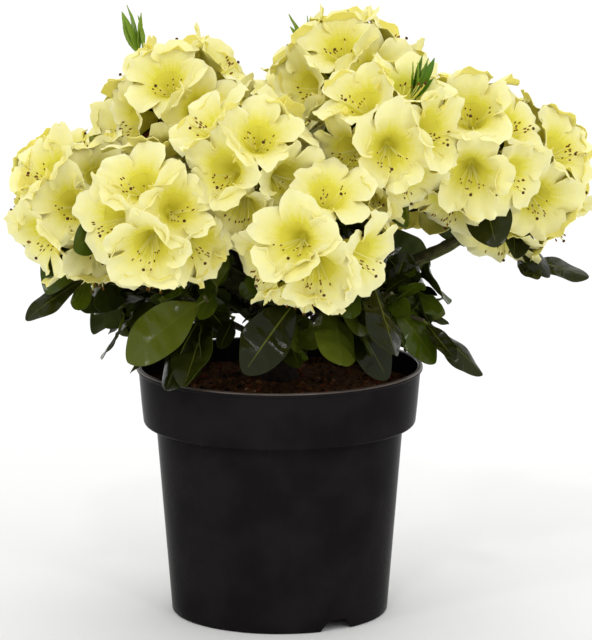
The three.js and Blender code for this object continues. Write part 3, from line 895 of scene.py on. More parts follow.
    def set_petal_walls(self, mass: Mass, flower: Flower, flowers: list[Flower]) -> None:
        """Puts a plane between a flower and each other one of its truss, before the mass's own.

        Args:
            mass: The truss.
            flower: The flower.
            flowers: All flowers of the truss.
        """
        normals, offsets = [], []
        for other in flowers:
            if other is not flower:
                normal = unit(other.way - flower.way)
                middle = (self.mouth(flower) + self.mouth(other)) / 2
                normals.append(normal)
                offsets.append(normal @ middle - self.flower.petal_gap)
        flower.normals = np.array([*normals, *mass.normals])
        flower.offsets = np.array([*offsets, *mass.offsets])

    def shoot(self, mass: Mass) -> tuple[Array, Array, list[Leaf]]:
        """A truss's young shoot.

        Args:
            mass: A truss whose row has a shoot.

        Returns:
            The twig's root, its tip and the narrow leaves at the tip.
        """
        rule, row = self.stem, mass.row.shoot
        way = leaning(row.tilt, row.toward)
        root = mass.hub - mass.axis * rule.shoot_start
        tip = root + way * (row.length + rule.shoot_start)
        leaves = []
        for k in range(rule.shoot_leaves):
            splay = rule.shoot_splay * (rule.splay_from + rule.splay_by * mass.random())
            leaf_way = around(way, splay, GOLDEN_ANGLE * k)
            leaf_way = unit(leaf_way + (UP - leaf_way) * rule.shoot_upright)
            start = tip - way * rule.shoot_stagger * (k + 0.5)
            length = rule.shoot_leaf * (rule.shoot_leaf_from + rule.shoot_leaf_by * mass.random())
            leaf = Leaf.grown(start, leaf_way, way, length, rule.shoot_width, 0.0)
            if self.leaf_fits(mass, leaf):
                leaves.append(leaf)
        return root, tip, leaves

    def low_twig(self, mass: Mass) -> tuple[Array, Array, list[Leaf]]:
        """A mass's low twig.

        Args:
            mass: A truss or spray whose row has a low twig.

        Returns:
            The twig's root, its tip and the leaves at the tip.
        """
        rule, row = self.stem, mass.row.twig
        root = mass.foot + mass.axis * row.start
        tip = root + leaning(row.tilt, row.toward) * row.length
        face = leaning(rule.low_face, FRONT)
        leaves = []
        for yaw, length in zip(row.yaws, rule.low_lengths):
            way = unit(heading(row.toward + yaw) - UP * row.dip)
            leaf = Leaf.grown(tip, way, face, length, rule.low_width, rule.low_droop)
            if self.leaf_fits(mass, leaf):
                leaves.append(leaf)
        return root, tip, leaves

    def twigs(self, mass: Mass) -> list[tuple[Array, Array, Array]]:
        """The side twigs of a spray.

        Args:
            mass: The spray.

        Returns:
            The root, direction and tip of each twig that fits.
        """
        rule, twigs = self.stem, []
        for share, yaw in zip(rule.spray_joins, rule.spray_yaws):
            root = mass.foot + (mass.hub - mass.foot) * share
            c, s = math.cos(math.radians(yaw)), math.sin(math.radians(yaw))
            x, y, z = mass.axis
            way = np.array((c * x - s * y, s * x + c * y, z))
            way = unit(way + UP * rule.spray_rise * (mass.random() - 0.5))
            tip = root + way * (rule.twig + rule.twig_by * mass.random())
            between = root + (tip - root) * np.array(rule.twig_tests)[:, None]
            if self.clear_of_limbs(between).all() and mass.holds(tip[None]).all():
                twigs.append((root, way, tip))
        return twigs

    def meets(self, leaf: Leaf, flowers: list[Flower], ahead: float = 36.0) -> bool:
        """Whether a leaf runs into the funnel of a flower.

        Args:
            leaf: The leaf.
            flowers: The flowers that it keeps out of.
            ahead: How far ahead of its base a flower's room goes.

        Returns:
            Whether any of the leaf's points lies in a flower's room.
        """
        rule, leaves = self.flower, self.leaf
        stations = np.linspace(leaves.room_first, 1.0, leaves.room_tests)[:, None]
        across = np.array((-leaves.room_half, 0.0, leaves.room_half)) * leaf.length
        points = leaf.point(stations, across, 0.0).reshape(-1, 3)
        for flower in flowers:
            off = points - flower.base
            depth = off @ flower.facing
            radius = np.linalg.norm(off - depth[:, None] * flower.facing, axis=1)
            wide = np.interp(depth, rule.room_depths, rule.room_radii) * flower.size
            if ((depth > rule.room_depths[0]) & (depth < ahead) & (radius < wide)).any():
                return True
        return False


# Meshes


@dataclass
class MeshStock:
    """The points and faces of one joined piece, gathered part by part."""

    name: str
    points: list[Array] = field(default_factory=list)
    faces: list[Array] = field(default_factory=list)
    tones: list[Array] = field(default_factory=list)
    count: int = 0

    def add(self, points: Array, faces: Array, tones: Array | int) -> None:
        """Adds one part.

        Args:
            points: Points in millimetres.
            faces: Rows of four point numbers, the last of them -1 in a triangle.
            tones: The number of each face's finish, or one for all.
        """
        faces = np.asarray(faces, np.int64)
        self.points.append(np.asarray(points, float).reshape(-1, 3))
        self.faces.append(np.where(faces >= 0, faces + self.count, -1))
        self.tones.append(np.broadcast_to(np.asarray(tones, np.int64).ravel(), (len(faces),)))
        self.count += len(self.points[-1])

    def triangles(self) -> int:
        """How many triangles the piece has."""
        return int(sum((f[:, 3] >= 0).sum() + len(f) for f in self.faces))

    def place(self, finishes: list[bpy.types.Material], crease: float) -> bpy.types.Object:
        """Makes the piece.

        Args:
            finishes: Materials in the order of the tones.
            crease: Degrees above which an edge is left sharp.

        Returns:
            The object, in the scene.
        """
        points = np.concatenate(self.points) * MM
        faces = np.concatenate(self.faces)
        corners = faces.ravel()
        totals = (faces >= 0).sum(axis=1)
        mesh = bpy.data.meshes.new(self.name)
        mesh.vertices.add(len(points))
        mesh.vertices.foreach_set("co", points.astype(np.float32).ravel())
        loops = corners[corners >= 0].astype(np.int32)
        mesh.loops.add(len(loops))
        mesh.loops.foreach_set("vertex_index", loops)
        mesh.polygons.add(len(faces))
        mesh.polygons.foreach_set("loop_start", (np.cumsum(totals) - totals).astype(np.int32))
        mesh.polygons.foreach_set("material_index", np.concatenate(self.tones).astype(np.int32))
        mesh.update(calc_edges=True)
        mesh.validate()
        mesh.polygons.foreach_set("use_smooth", np.ones(len(mesh.polygons), bool))
        mesh.set_sharp_from_angle(angle=math.radians(crease))
        for finish in finishes:
            mesh.materials.append(finish)
        piece = bpy.data.objects.new(self.name, mesh)
        bpy.context.scene.collection.objects.link(piece)
        return piece


def grid_faces(rows: int, columns: int, closed: bool = False) -> Array:
    """The quads of a grid of points.

    Args:
        rows: How many rows of points it has.
        columns: How many points a row has.
        closed: Whether each row's last point joins its first.

    Returns:
        Rows of four point numbers.
    """
    across = columns if closed else columns - 1
    i, j = np.meshgrid(np.arange(rows - 1), np.arange(across), indexing="ij")
    k = (j + 1) % columns
    quads = np.stack((i * columns + j, (i + 1) * columns + j, (i + 1) * columns + k, i * columns + k), -1)
    return quads.reshape(-1, 4)


def sheet(stock: MeshStock, grid: Array, thickness: float, front: Array | int, back: Array | int) -> None:
    """Adds a thin closed sheet to a piece.

    Args:
        stock: The piece.
        grid: The front's points in rows, with the front on the side of row step times column step.
        thickness: The sheet's thickness.
        front: The tone of each front face, or one for all.
        back: The tone of each back face, or one for all.
    """
    rows, columns = grid.shape[:2]
    normal = np.cross(np.gradient(grid, axis=0), np.gradient(grid, axis=1))
    normal /= np.maximum(np.linalg.norm(normal, axis=-1, keepdims=True), TINY)
    points = np.concatenate((grid.reshape(-1, 3), (grid - normal * thickness).reshape(-1, 3)))
    quads = grid_faces(rows, columns)
    n = rows * columns
    ids = np.arange(n).reshape(rows, columns)
    loop = np.concatenate((ids[0, :-1], ids[:-1, -1], ids[-1, :0:-1], ids[:0:-1, 0]))
    after = np.roll(loop, -1)
    edge = np.stack((loop, after, after + n, loop + n), -1)
    tones = np.broadcast_to(np.asarray(front).ravel(), (len(quads),))
    under = np.broadcast_to(np.asarray(back).ravel(), (len(quads),))
    faces = np.concatenate((quads, quads[:, TURNED_OVER] + n, edge))
    stock.add(points, faces, np.concatenate((tones, under, np.full(len(edge), under[-1]))))


def tube(stock: MeshStock, path: Array, radii: Array | float, sides: int, tones: Array | int) -> None:
    """Adds a closed tube to a piece.

    Args:
        stock: The piece.
        path: Points along the tube's middle.
        radii: One radius, one for each point, or one for each point and side.
        sides: How many sides it has.
        tones: One tone, or one for each stretch of the path.
    """
    count = len(path)
    ways = np.gradient(path, axis=0)
    ways /= np.maximum(np.linalg.norm(ways, axis=1, keepdims=True), TINY)
    frames = [square_to(ways[0])[0]]
    for way in ways[1:]:
        side = frames[-1] - way * (frames[-1] @ way)
        frames.append(unit(side))
    side = np.array(frames)
    ahead = np.cross(ways, side)
    angle = ring_angles(sides)
    ring = side[:, None] * np.cos(angle)[:, None] + ahead[:, None] * np.sin(angle)[:, None]
    radii = np.asarray(radii, float)
    size = np.broadcast_to(radii[:, None] if radii.ndim == 1 else radii, (count, sides))
    points = (path[:, None] + ring * size[..., None]).reshape(-1, 3)
    quads = grid_faces(count, sides, True)[:, TURNED_OVER]
    around_it = np.arange(sides)
    nxt = (around_it + 1) % sides
    first, last = count * sides, count * sides + 1
    none = np.full(sides, -1)
    foot = np.stack((np.full(sides, first), nxt, around_it, none), -1)
    top = np.stack((np.full(sides, last), around_it, nxt, none), -1)
    top[:, 1:3] += (count - 1) * sides
    stretch = np.broadcast_to(np.asarray(tones), (count - 1,))
    all_tones = np.concatenate((np.repeat(stretch, sides), np.repeat(stretch[[0, -1]], sides)))
    stock.add(np.vstack((points, path[0], path[-1])), np.concatenate((quads, foot, top)), all_tones)


KNOB_SPAN = (0.06, 0.94)


def knob(
    stock: MeshStock, centre: Array, axis: Array, length: float, radius: float, tone: int,
    sides: int = 5, rings: int = 3,
) -> None:
    """Adds a small rounded body to a piece.

    Args:
        stock: The piece.
        centre: Its middle.
        axis: The direction of its length.
        length: Its length.
        radius: Its greatest radius.
        tone: The number of its finish.
        sides: How many sides it has.
        rings: How many rings of points it has between its ends.
    """
    t = np.linspace(*KNOB_SPAN, rings + 2)
    path = centre + axis * ((t - 0.5) * length)[:, None]
    tube(stock, path, radius * np.sqrt(np.maximum(0.0, 1 - (2 * t - 1) ** 2)), sides, tone)


# Finishes


def fill(node: bpy.types.Node, values: dict[str, float | Series]) -> None:
    """Sets a shader node's inputs by their names."""
    for socket, value in values.items():
        node.inputs[socket].default_value = value


@dataclass(frozen=True)
class Finish:
    """A surface: its tone, gloss, fine relief and the light it lets through."""

    name: str
    tone: Colour
    second: Colour | None = None
    grain: float = 200.0
    roughness: float = 0.5
    spread: float = 0.12
    relief: float = 0.1
    relief_depth: float = 0.0004
    subsurface: float = 0.0
    reach: float = 0.002
    reach_by_colour: Colour = (1.0, 0.9, 0.35)
    specular: float = 0.5

    def material(self, surface: bpy.types.NodeTree) -> bpy.types.Material:
        """Makes the material.

        Args:
            surface: The shared group of mottled colour, gloss and relief.

        Returns:
            A material that shades this finish.
        """
        made = bpy.data.materials.new(self.name)
        made.use_nodes = True
        nodes, links = made.node_tree.nodes, made.node_tree.links
        nodes.clear()
        output = nodes.new("ShaderNodeOutputMaterial")
        shader = nodes.new("ShaderNodeBsdfPrincipled")
        grain = nodes.new("ShaderNodeGroup")
        grain.node_tree = surface
        bump = nodes.new("ShaderNodeBump")
        fill(grain, {
            "Tone": (*self.tone, 1.0),
            "Second tone": (*(self.second or self.tone), 1.0),
            "Grain": self.grain,
            "Gloss middle": self.roughness,
            "Gloss spread": self.spread,
        })
        fill(shader, {
            "Base Color": (*self.tone, 1.0),
            "Subsurface Weight": self.subsurface,
            "Subsurface Radius": self.reach_by_colour,
            "Subsurface Scale": self.reach,
            "Specular IOR Level": self.specular,
        })
        fill(bump, {"Strength": self.relief, "Distance": self.relief_depth})
        if self.second:
            links.new(grain.outputs["Colour"], shader.inputs["Base Color"])
        links.new(grain.outputs["Roughness"], shader.inputs["Roughness"])
        links.new(grain.outputs["Height"], bump.inputs["Height"])
        links.new(bump.outputs["Normal"], shader.inputs["Normal"])
        links.new(shader.outputs["BSDF"], output.inputs["Surface"])
        return made


class SurfaceGroup:
    """The shared shader group: two mottled tones, an uneven gloss and a fine relief."""

    SOCKETS = (
        ("Tone", "INPUT", "Color"),
        ("Second tone", "INPUT", "Color"),
        ("Grain", "INPUT", "Float"),
        ("Gloss middle", "INPUT", "Float"),
        ("Gloss spread", "INPUT", "Float"),
        ("Colour", "OUTPUT", "Color"),
        ("Roughness", "OUTPUT", "Float"),
        ("Height", "OUTPUT", "Float"),
    )
    DETAILS = (5.0, 3.0)
    NOISE_ROUGHNESS = 0.6
    FINER = 5.0
    PATCH_FROM = 0.35
    PATCH_TO = 0.65
    NOISE_MIDDLE = 0.5

    def build(self) -> bpy.types.NodeTree:
        """Makes the group.

        Returns:
            The node tree, to place in each material.
        """
        tree = bpy.data.node_groups.new("mottled_surface", "ShaderNodeTree")
        for name, side, kind in self.SOCKETS:
            tree.interface.new_socket(name, in_out=side, socket_type=f"NodeSocket{kind}")
        nodes, links = tree.nodes, tree.links
        given, put = nodes.new("NodeGroupInput"), nodes.new("NodeGroupOutput")
        place = nodes.new("ShaderNodeTexCoord")
        coarse, fine = (nodes.new("ShaderNodeTexNoise") for _ in range(2))
        for noise, detail in zip((coarse, fine), self.DETAILS):
            fill(noise, {"Detail": detail, "Roughness": self.NOISE_ROUGHNESS})
            links.new(place.outputs["Object"], noise.inputs["Vector"])
        finer, uneven, gloss = (nodes.new("ShaderNodeMath") for _ in range(3))
        finer.operation, uneven.operation, gloss.operation = "MULTIPLY", "SUBTRACT", "MULTIPLY_ADD"
        finer.inputs[1].default_value = self.FINER
        uneven.inputs[1].default_value = self.NOISE_MIDDLE
        patch = nodes.new("ShaderNodeMapRange")
        patch.interpolation_type = "SMOOTHSTEP"
        fill(patch, {"From Min": self.PATCH_FROM, "From Max": self.PATCH_TO})
        mix = nodes.new("ShaderNodeMix")
        mix.data_type = "RGBA"
        for source, out, target, into in (
            (given, "Grain", coarse, "Scale"),
            (given, "Grain", finer, 0),
            (finer, 0, fine, "Scale"),
            (coarse, "Fac", patch, "Value"),
            (patch, "Result", mix, "Factor"),
            (given, "Tone", mix, "A"),
            (given, "Second tone", mix, "B"),
            (mix, "Result", put, "Colour"),
            (coarse, "Fac", uneven, 0),
            (uneven, 0, gloss, 0),
            (given, "Gloss spread", gloss, 1),
            (given, "Gloss middle", gloss, 2),
            (gloss, 0, put, "Roughness"),
            (fine, "Fac", put, "Height"),
        ):
            links.new(source.outputs[out], target.inputs[into])
        return tree


PETAL_STEPS = 13
PETAL_STOPS = (0.0, 0.14, 0.36, 1.0)
PETAL_TONES = ((0.83, 0.765, 0.075), (0.88, 0.81, 0.18), (0.905, 0.84, 0.30), (0.925, 0.875, 0.44))
PETAL_BACK = (0.91, 0.83, 0.28)
PETAL_TUBE = (0.82, 0.75, 0.15)


class PetalTone(IntEnum):
    """The tones of a corolla apart from the run of them from its throat to its edge."""

    WELL = 0
    EDGE = PETAL_STEPS - 1
    BACK = PETAL_STEPS
    TUBE = PETAL_STEPS + 1


def petal(name: str, tone: Colour) -> Finish:
    """A petal's finish: soft, thin and lit through."""
    return Finish(
        name, tone, grain=60.0, roughness=0.55, relief=0.3, relief_depth=0.0006, subsurface=0.25,
        specular=0.2,
    )


def petal_run() -> list[Finish]:
    """The finishes of a corolla.

    Returns:
        The run of finishes from throat to edge, then those of its outside and its tube.
    """
    run = []
    for k in range(PETAL_STEPS):
        place = k * (len(PETAL_TONES) - 1) / (PETAL_STEPS - 1)
        tone = tuple(np.interp(place, range(len(PETAL_TONES)), part) for part in zip(*PETAL_TONES))
        run.append(petal(f"petal_{k + 1}", tone))
    return [*run, petal("petal_back", PETAL_BACK), petal("petal_tube", PETAL_TUBE)]


class HeartTone(IntEnum):
    """The tones inside a flower: filament, anther, style and stigma."""

    FILAMENT = 0
    ANTHER = 1
    STYLE = 2
    STIGMA = 3


HEARTS = (
    Finish("filament", (0.88, 0.84, 0.34), roughness=0.5, subsurface=0.2),
    Finish("anther", (0.20, 0.088, 0.016), roughness=0.7, specular=0.1),
    Finish("style", (0.74, 0.70, 0.16), roughness=0.45, subsurface=0.2),
    Finish("stigma", (0.085, 0.038, 0.010), roughness=0.6, specular=0.1),
)


class StemTone(IntEnum):
    """The tones of stalks, stems, young shoots, bud scales and twigs."""

    PEDICEL = 0
    STEM = 1
    YOUNG = 2
    SCALE = 3
    SCALE_DRY = 4
    TWIG = 5


STEMS = (
    Finish("pedicel", (0.24, 0.26, 0.03), roughness=0.5, grain=300.0),
    Finish("stem", (0.085, 0.085, 0.03), roughness=0.55, grain=260.0, relief=0.25),
    Finish("young_stem", (0.17, 0.23, 0.03), roughness=0.45, grain=300.0),
    Finish("bud_scale", (0.26, 0.050, 0.020), roughness=0.5, grain=300.0, relief=0.2),
    Finish("bud_scale_dry", (0.32, 0.130, 0.045), roughness=0.6, grain=300.0, relief=0.2),
    Finish("twig", (0.060, 0.050, 0.024), roughness=0.65, grain=240.0, relief=0.3),
)


class LeafTone(IntEnum):
    """The tones of leaves, dealt out leaf by leaf, of their ribs and of their undersides."""

    DARK = 0
    DEEP = 1
    GREEN = 2
    OLIVE = 3
    RIB = 4
    UNDER = 5
    YOUNG = 6
    YOUNG_LIGHT = 7


def leaf_finish(name: str, tone: Colour, roughness: float, specular: float) -> Finish:
    """A leaf's finish: leathery, with a waxy shine on the upper face."""
    return Finish(
        name, tone, grain=40.0, roughness=roughness, spread=0.2, relief=0.3, relief_depth=0.001,
        specular=specular,
    )


LEAVES = (
    leaf_finish("leaf_dark", (0.010, 0.0130, 0.0012), 0.15, 0.15),
    leaf_finish("leaf_deep", (0.018, 0.0225, 0.0020), 0.14, 0.15),
    leaf_finish("leaf_green", (0.046, 0.0700, 0.0036), 0.13, 0.17),
    leaf_finish("leaf_olive", (0.066, 0.0840, 0.0070), 0.16, 0.16),
    leaf_finish("leaf_rib", (0.080, 0.0960, 0.0110), 0.24, 0.13),
    leaf_finish("leaf_under", (0.034, 0.0460, 0.0070), 0.50, 0.05),
    leaf_finish("leaf_young", (0.080, 0.190, 0.010), 0.34, 0.25),
    leaf_finish("leaf_young_light", (0.190, 0.310, 0.028), 0.36, 0.25),
)


class WoodTone(IntEnum):
    """The tones of bark: old on the trunk, and greener toward the tips."""

    OLD = 0
    RIPE = 1
    GREEN = 2


WOODS = (
    Finish(
        "bark_old", (0.032, 0.021, 0.014), (0.010, 0.007, 0.005),
        grain=150.0, roughness=0.85, spread=0.1, relief=0.6, relief_depth=0.0012, specular=0.2,
    ),
    Finish(
        "bark_ripe", (0.062, 0.060, 0.018), (0.028, 0.026, 0.008),
        grain=170.0, roughness=0.75, spread=0.1, relief=0.5, relief_depth=0.0010, specular=0.15,
    ),
    Finish(
        "bark_green", (0.092, 0.100, 0.022), (0.044, 0.048, 0.011),
        grain=190.0, roughness=0.65, spread=0.1, relief=0.4, relief_depth=0.0008, specular=0.15,
    ),
)


class PotTone(IntEnum):
    """The tones of the pot: its body, and the crest of its lip, which is painted paler as a painted
    highlight.
    """

    BODY = 0
    LIP = 1


POTS = (
    Finish(
        "pot_plastic", (0.0088, 0.0078, 0.0082), (0.0128, 0.0114, 0.0118),
        grain=22.0, roughness=0.26, spread=0.14, relief=0.12, relief_depth=0.0004, specular=0.008,
    ),
    # The lip's crest is painted pale brown as a painted highlight.
    Finish(
        "pot_lip", (0.105, 0.080, 0.066), (0.062, 0.047, 0.040),
        grain=30.0, roughness=0.30, spread=0.2, relief=0.1, relief_depth=0.0003, specular=0.35,
    ),
)


class SoilTone(IntEnum):
    """The tones of the compost and of the bits that lie on it."""

    PEAT = 0
    RED = 1
    BARK = 2
    BLACK = 3
    PALE = 4


def chip(
    name: str, tone: Colour, second: Colour, roughness: float = 0.8, relief: float = 0.6,
    depth: float = 0.0008, specular: float = 0.1,
) -> Finish:
    """A chip's finish: mottled, dull and rough."""
    return Finish(
        name, tone, second, grain=300.0, roughness=roughness, spread=0.1, relief=relief, relief_depth=depth,
        specular=specular,
    )


SOILS = (
    Finish(
        "peat", (0.165, 0.078, 0.033), (0.066, 0.032, 0.015),
        grain=260.0, roughness=0.95, spread=0.08, relief=1.0, relief_depth=0.0016, specular=0.05,
    ),
    chip("chip_red", (0.200, 0.048, 0.022), (0.100, 0.026, 0.012), roughness=0.85),
    chip("chip_bark", (0.300, 0.120, 0.042), (0.140, 0.056, 0.022)),
    chip("chip_black", (0.014, 0.008, 0.005), (0.026, 0.014, 0.009)),
    chip(
        "chip_pale", (0.420, 0.270, 0.150), (0.220, 0.130, 0.075), relief=0.4, depth=0.0006, specular=0.2,
    ),
)


class Paints:
    """All finishes as materials, made once."""

    def __init__(self) -> None:
        """Builds the shared group and every material."""
        group = SurfaceGroup().build()
        self.petals, self.hearts, self.stems, self.leaves, self.woods, self.soils, self.pots = (
            [finish.material(group) for finish in finishes]
            for finishes in (petal_run(), HEARTS, STEMS, LEAVES, WOODS, SOILS, POTS)
        )


def settle(
    stock: MeshStock, finishes: list[bpy.types.Material], nodes: list[str], crease: float = CREASE
) -> None:
    """Places a piece, sets it on the body, hides the solids that it stands for, and reports it.

    Args:
        stock: The piece.
        finishes: Materials in the order of its tones.
        nodes: The solids that it stands for, if any.
        crease: Degrees above which an edge is left sharp.
    """
    piece = stock.place(finishes, crease)
    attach(piece, BODY)
    if nodes:
        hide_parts(*nodes)
    log.info("%s: %d triangles for %d solids", piece.name, stock.triangles(), len(nodes))


# Sub-assemblies


@dataclass
class Pot:
    """The moulded pot: stepped band, rolled lip, raised floor and drainage notches."""

    sizes: PotSizes
    paints: Paints
    sides: int = 144
    crease: float = 35.0
    # The height of the lip's crest that carries the painted highlight.
    highlight_crest: float = 1.2
    stand_edge: Pair = (1.0, 0.6)
    foot_edge: Pair = (0.7, 1.0)
    band_edge: Pair = (0.8, 1.0)
    mouth_edge: float = 0.7
    lip_below: float = 1.0
    wall_rings: Series = (30.0, 75.0, 120.0)
    band_rings: Series = (12.0, 26.0)
    corner_points: int = 6
    roll_points: int = 7
    roll_from: float = 0.25 * math.pi
    roll_to: float = 0.98 * math.pi
    skirt_out: float = 10.0

    def profile(self) -> Array:
        """The pot's section.

        Returns:
            Rows of radius and height, from the middle of the underside, round the wall, to the middle
            of the floor.
        """
        p = self.sizes
        floor, mouth = p.skirt + p.wall, p.rim - p.lip - p.wall
        lip_z, lip_round = p.height - p.lip_height, p.lip_height / 2
        low = p.band_z + p.band_round
        corner = [
            (p.band_foot - p.band_round * (1 - math.sin(a)), low - p.band_round * math.cos(a))
            for a in np.linspace(0.0, math.pi / 2, self.corner_points)
        ]
        roll = [
            (p.rim - p.lip / 2 + p.lip / 2 * math.sin(a), lip_z + lip_round - lip_round * math.cos(a))
            for a in np.linspace(self.roll_from, self.roll_to, self.roll_points)
        ]
        stand_in, stand_up = self.stand_edge
        foot_in, foot_up = self.foot_edge
        band_out, band_down = self.band_edge
        body = (foot_up, p.notch_height, *self.wall_rings, p.band_z - band_down)
        band = (*(low + ring for ring in self.band_rings), lip_z - self.lip_below)
        rows = [(0.0, 0.0), (p.stand - stand_in, 0.0), (p.stand, stand_up)]
        rows += [(p.stand + p.stand_slope, p.skirt)]
        rows += [(p.body(p.skirt) - p.wall, p.skirt), (p.foot - p.wall, 0.0), (p.foot - foot_in, 0.0)]
        rows += [(p.body(z), z) for z in body]
        rows += [(p.body(p.band_z) + band_out, p.band_z), *corner]
        rows += [(p.band(z), z) for z in band]
        rows += [*roll, (mouth + self.mouth_edge, p.height), (mouth, p.height - self.mouth_edge)]
        rows += [(p.band(low) - p.wall, low + p.wall / 2), (p.body(p.band_z) - p.wall, p.band_z + p.wall)]
        rows += [(p.body(floor) - p.wall, floor), (p.stand + p.stand_slope - p.wall, floor)]
        rows += [(p.stand - p.wall, p.wall), (0.0, p.wall)]
        return np.array(rows)

    def turns(self) -> Array:
        """Angles round the pot.

        Returns:
            Degrees in rising order, even but for the corners of the notches.
        """
        p = self.sizes
        turns = list(np.arange(self.sides) * 360.0 / self.sides)
        for n in range(p.notches):
            middle = p.notch_bearing + 360.0 / p.notches * n
            for half in (p.notch_top / 2, p.notch_foot / 2):
                wide = math.degrees(math.asin(half / p.foot))
                turns += [(middle - wide) % 360, (middle + wide) % 360]
        return np.unique(np.round(turns, 4))

    def notch_rise(self, turns: Array) -> Array:
        """How high the skirt's lower edge stands.

        Args:
            turns: Degrees round the pot.

        Returns:
            The height of the edge at each of them.
        """
        p, rise = self.sizes, np.zeros(len(turns))
        for n in range(p.notches):
            off = (turns - p.notch_bearing - 360.0 / p.notches * n + 180) % 360 - 180
            across = np.where(np.abs(off) > 90, np.inf, np.abs(p.foot * np.sin(np.radians(off))))
            slope = (p.notch_foot / 2 - across) / (p.notch_foot / 2 - p.notch_top / 2)
            rise = np.maximum(rise, p.notch_height * np.clip(slope, 0.0, 1.0))
        return rise

    def build(self) -> None:
        """Makes the pot in place of its solid."""
        p, profile, turns = self.sizes, self.profile(), self.turns()
        angle = np.radians(turns)
        radius = np.repeat(profile[:, :1], len(turns), axis=1)
        z = np.repeat(profile[:, 1:], len(turns), axis=1)
        skirt = (profile[:, 0] > p.stand + self.skirt_out) & (profile[:, 1] < p.notch_height)
        z[skirt] = np.maximum(z[skirt], self.notch_rise(turns))
        grid = np.stack((radius * np.cos(angle), radius * np.sin(angle), z), -1)
        # The faces along the crest of the lip get the painted highlight tone.
        high = profile[:, 1] > p.height - self.highlight_crest
        tones = np.where(high[1:] & high[:-1], PotTone.LIP, PotTone.BODY)
        stock = MeshStock("pot_shell")
        faces = grid_faces(len(profile), len(turns), True)[:, TURNED_OVER]
        stock.add(grid, faces, np.repeat(tones, len(turns)))
        settle(stock, self.paints.pots, ["pot"], self.crease)


@dataclass
class SoilBed:
    """The compost: an uneven crumbly top with chips of bark, and a few pale bits."""

    sizes: PotSizes
    paints: Paints
    rng: Random
    rows: int = 64
    columns: int = 150
    first_ring: float = 0.02
    crowd: float = 0.8
    crease: float = 80.0
    height: float = 1.6
    wavelengths: Series = (34.0, 17.0, 9.0, 5.0, 3.2)
    waves_each: int = 7
    level: Pair = (8.0, 24.0)
    lap: float = 1.8
    lap_width: float = 9.0
    under_hole: float = 0.5
    chips: int = 520
    chip_crease: float = 30.0
    chip_shares: Series = (0.30, 0.28, 0.16, 0.20, 0.06)
    chip_area: Pair = (0.03, 0.94)
    chip_length: Pair = (2.0, 6.5)
    chip_thick: Pair = (0.2, 0.36)
    chip_rise: Pair = (0.2, 0.9)
    chip_lift: float = 0.25
    chip_tilt: Pair = (55.0, 95.0)
    chip_rough: float = 0.22
    chip_sides: int = 5
    chip_rings: int = 2
    pale_size: float = 0.6

    @property
    def edge(self) -> float:
        """The soil's radius at the wall."""
        return self.sizes.band(self.sizes.soil_edge) - self.sizes.wall - GAP

    def top(self, reach: Array) -> Array:
        """The smooth height of the soil at distances from the middle."""
        p = self.sizes
        return np.interp(reach, (0.0, p.soil_flat, self.edge), (p.soil_top, p.soil_top, p.soil_edge))

    def build(self) -> None:
        """Makes the soil and its chips in place of the soil's solid."""
        p, edge, columns = self.sizes, self.edge, self.columns
        waves = Waves.sown(self.rng, self.wavelengths, self.waves_each)
        reach = np.linspace(self.first_ring, 1.0, self.rows) ** self.crowd * edge
        angle = ring_angles(columns)
        x, y = reach[:, None] * np.cos(angle), reach[:, None] * np.sin(angle)
        flat = np.stack((x, y, np.zeros_like(x)), -1)
        z = self.top(reach)[:, None] + self.height * waves.at(flat) * smooth(reach, *self.level)[:, None]
        z += self.lap * smooth(reach, edge - self.lap_width, edge)[:, None]
        inset = p.wall + GAP
        floor = p.skirt + inset
        below = [(p.body(p.band_z) - inset, p.band_z + inset), (p.body(floor) - inset, floor)]
        below += [(p.stand - inset, floor), (self.under_hole, floor)]
        ring = np.stack((np.cos(angle), np.sin(angle), np.zeros_like(angle)), -1)
        skirts = np.array([ring * radius + UP * height for radius, height in below])
        grid = np.concatenate((np.stack((x, y, z), -1), skirts))
        stock = MeshStock("soil_bed")
        stock.add(grid, grid_faces(len(grid), columns, True), SoilTone.PEAT)
        crown = np.arange(columns)
        middle, none = np.full_like(crown, columns), np.full_like(crown, -1)
        fan = np.stack((middle, crown, np.roll(crown, -1), none), -1)
        stock.add(np.vstack((grid[0], UP * p.soil_top)), fan, SoilTone.PEAT)
        settle(stock, self.paints.soils, ["soil"], self.crease)
        self.scatter(waves)

    def scatter(self, waves: Waves) -> None:
        """Strews chips over the soil.

        Args:
            waves: The soil's relief, which the chips lie on.
        """
        stock, kinds = MeshStock("soil_chips"), list(SoilTone)
        for _ in range(self.chips):
            reach = self.edge * math.sqrt(self.rng.uniform(*self.chip_area))
            spot = heading(self.rng.uniform(0, 360)) * reach
            kind = kinds[self.rng.choice(len(kinds), p=self.chip_shares)]
            length = self.rng.uniform(*self.chip_length) * (self.pale_size if kind is SoilTone.PALE else 1.0)
            z = self.top(np.array(reach)) + self.height * waves.at(spot)
            z += self.chip_lift * length * self.rng.uniform(*self.chip_rise)
            axis = leaning(self.rng.uniform(*self.chip_tilt), self.rng.uniform(0, 360))
            radius = length * self.rng.uniform(*self.chip_thick)
            knob(stock, spot + UP * z, axis, length, radius, kind, self.chip_sides, self.chip_rings)
        stock.points = [q + self.rng.normal(0, self.chip_rough, q.shape) for q in stock.points]
        settle(stock, self.paints.soils, [], self.chip_crease)


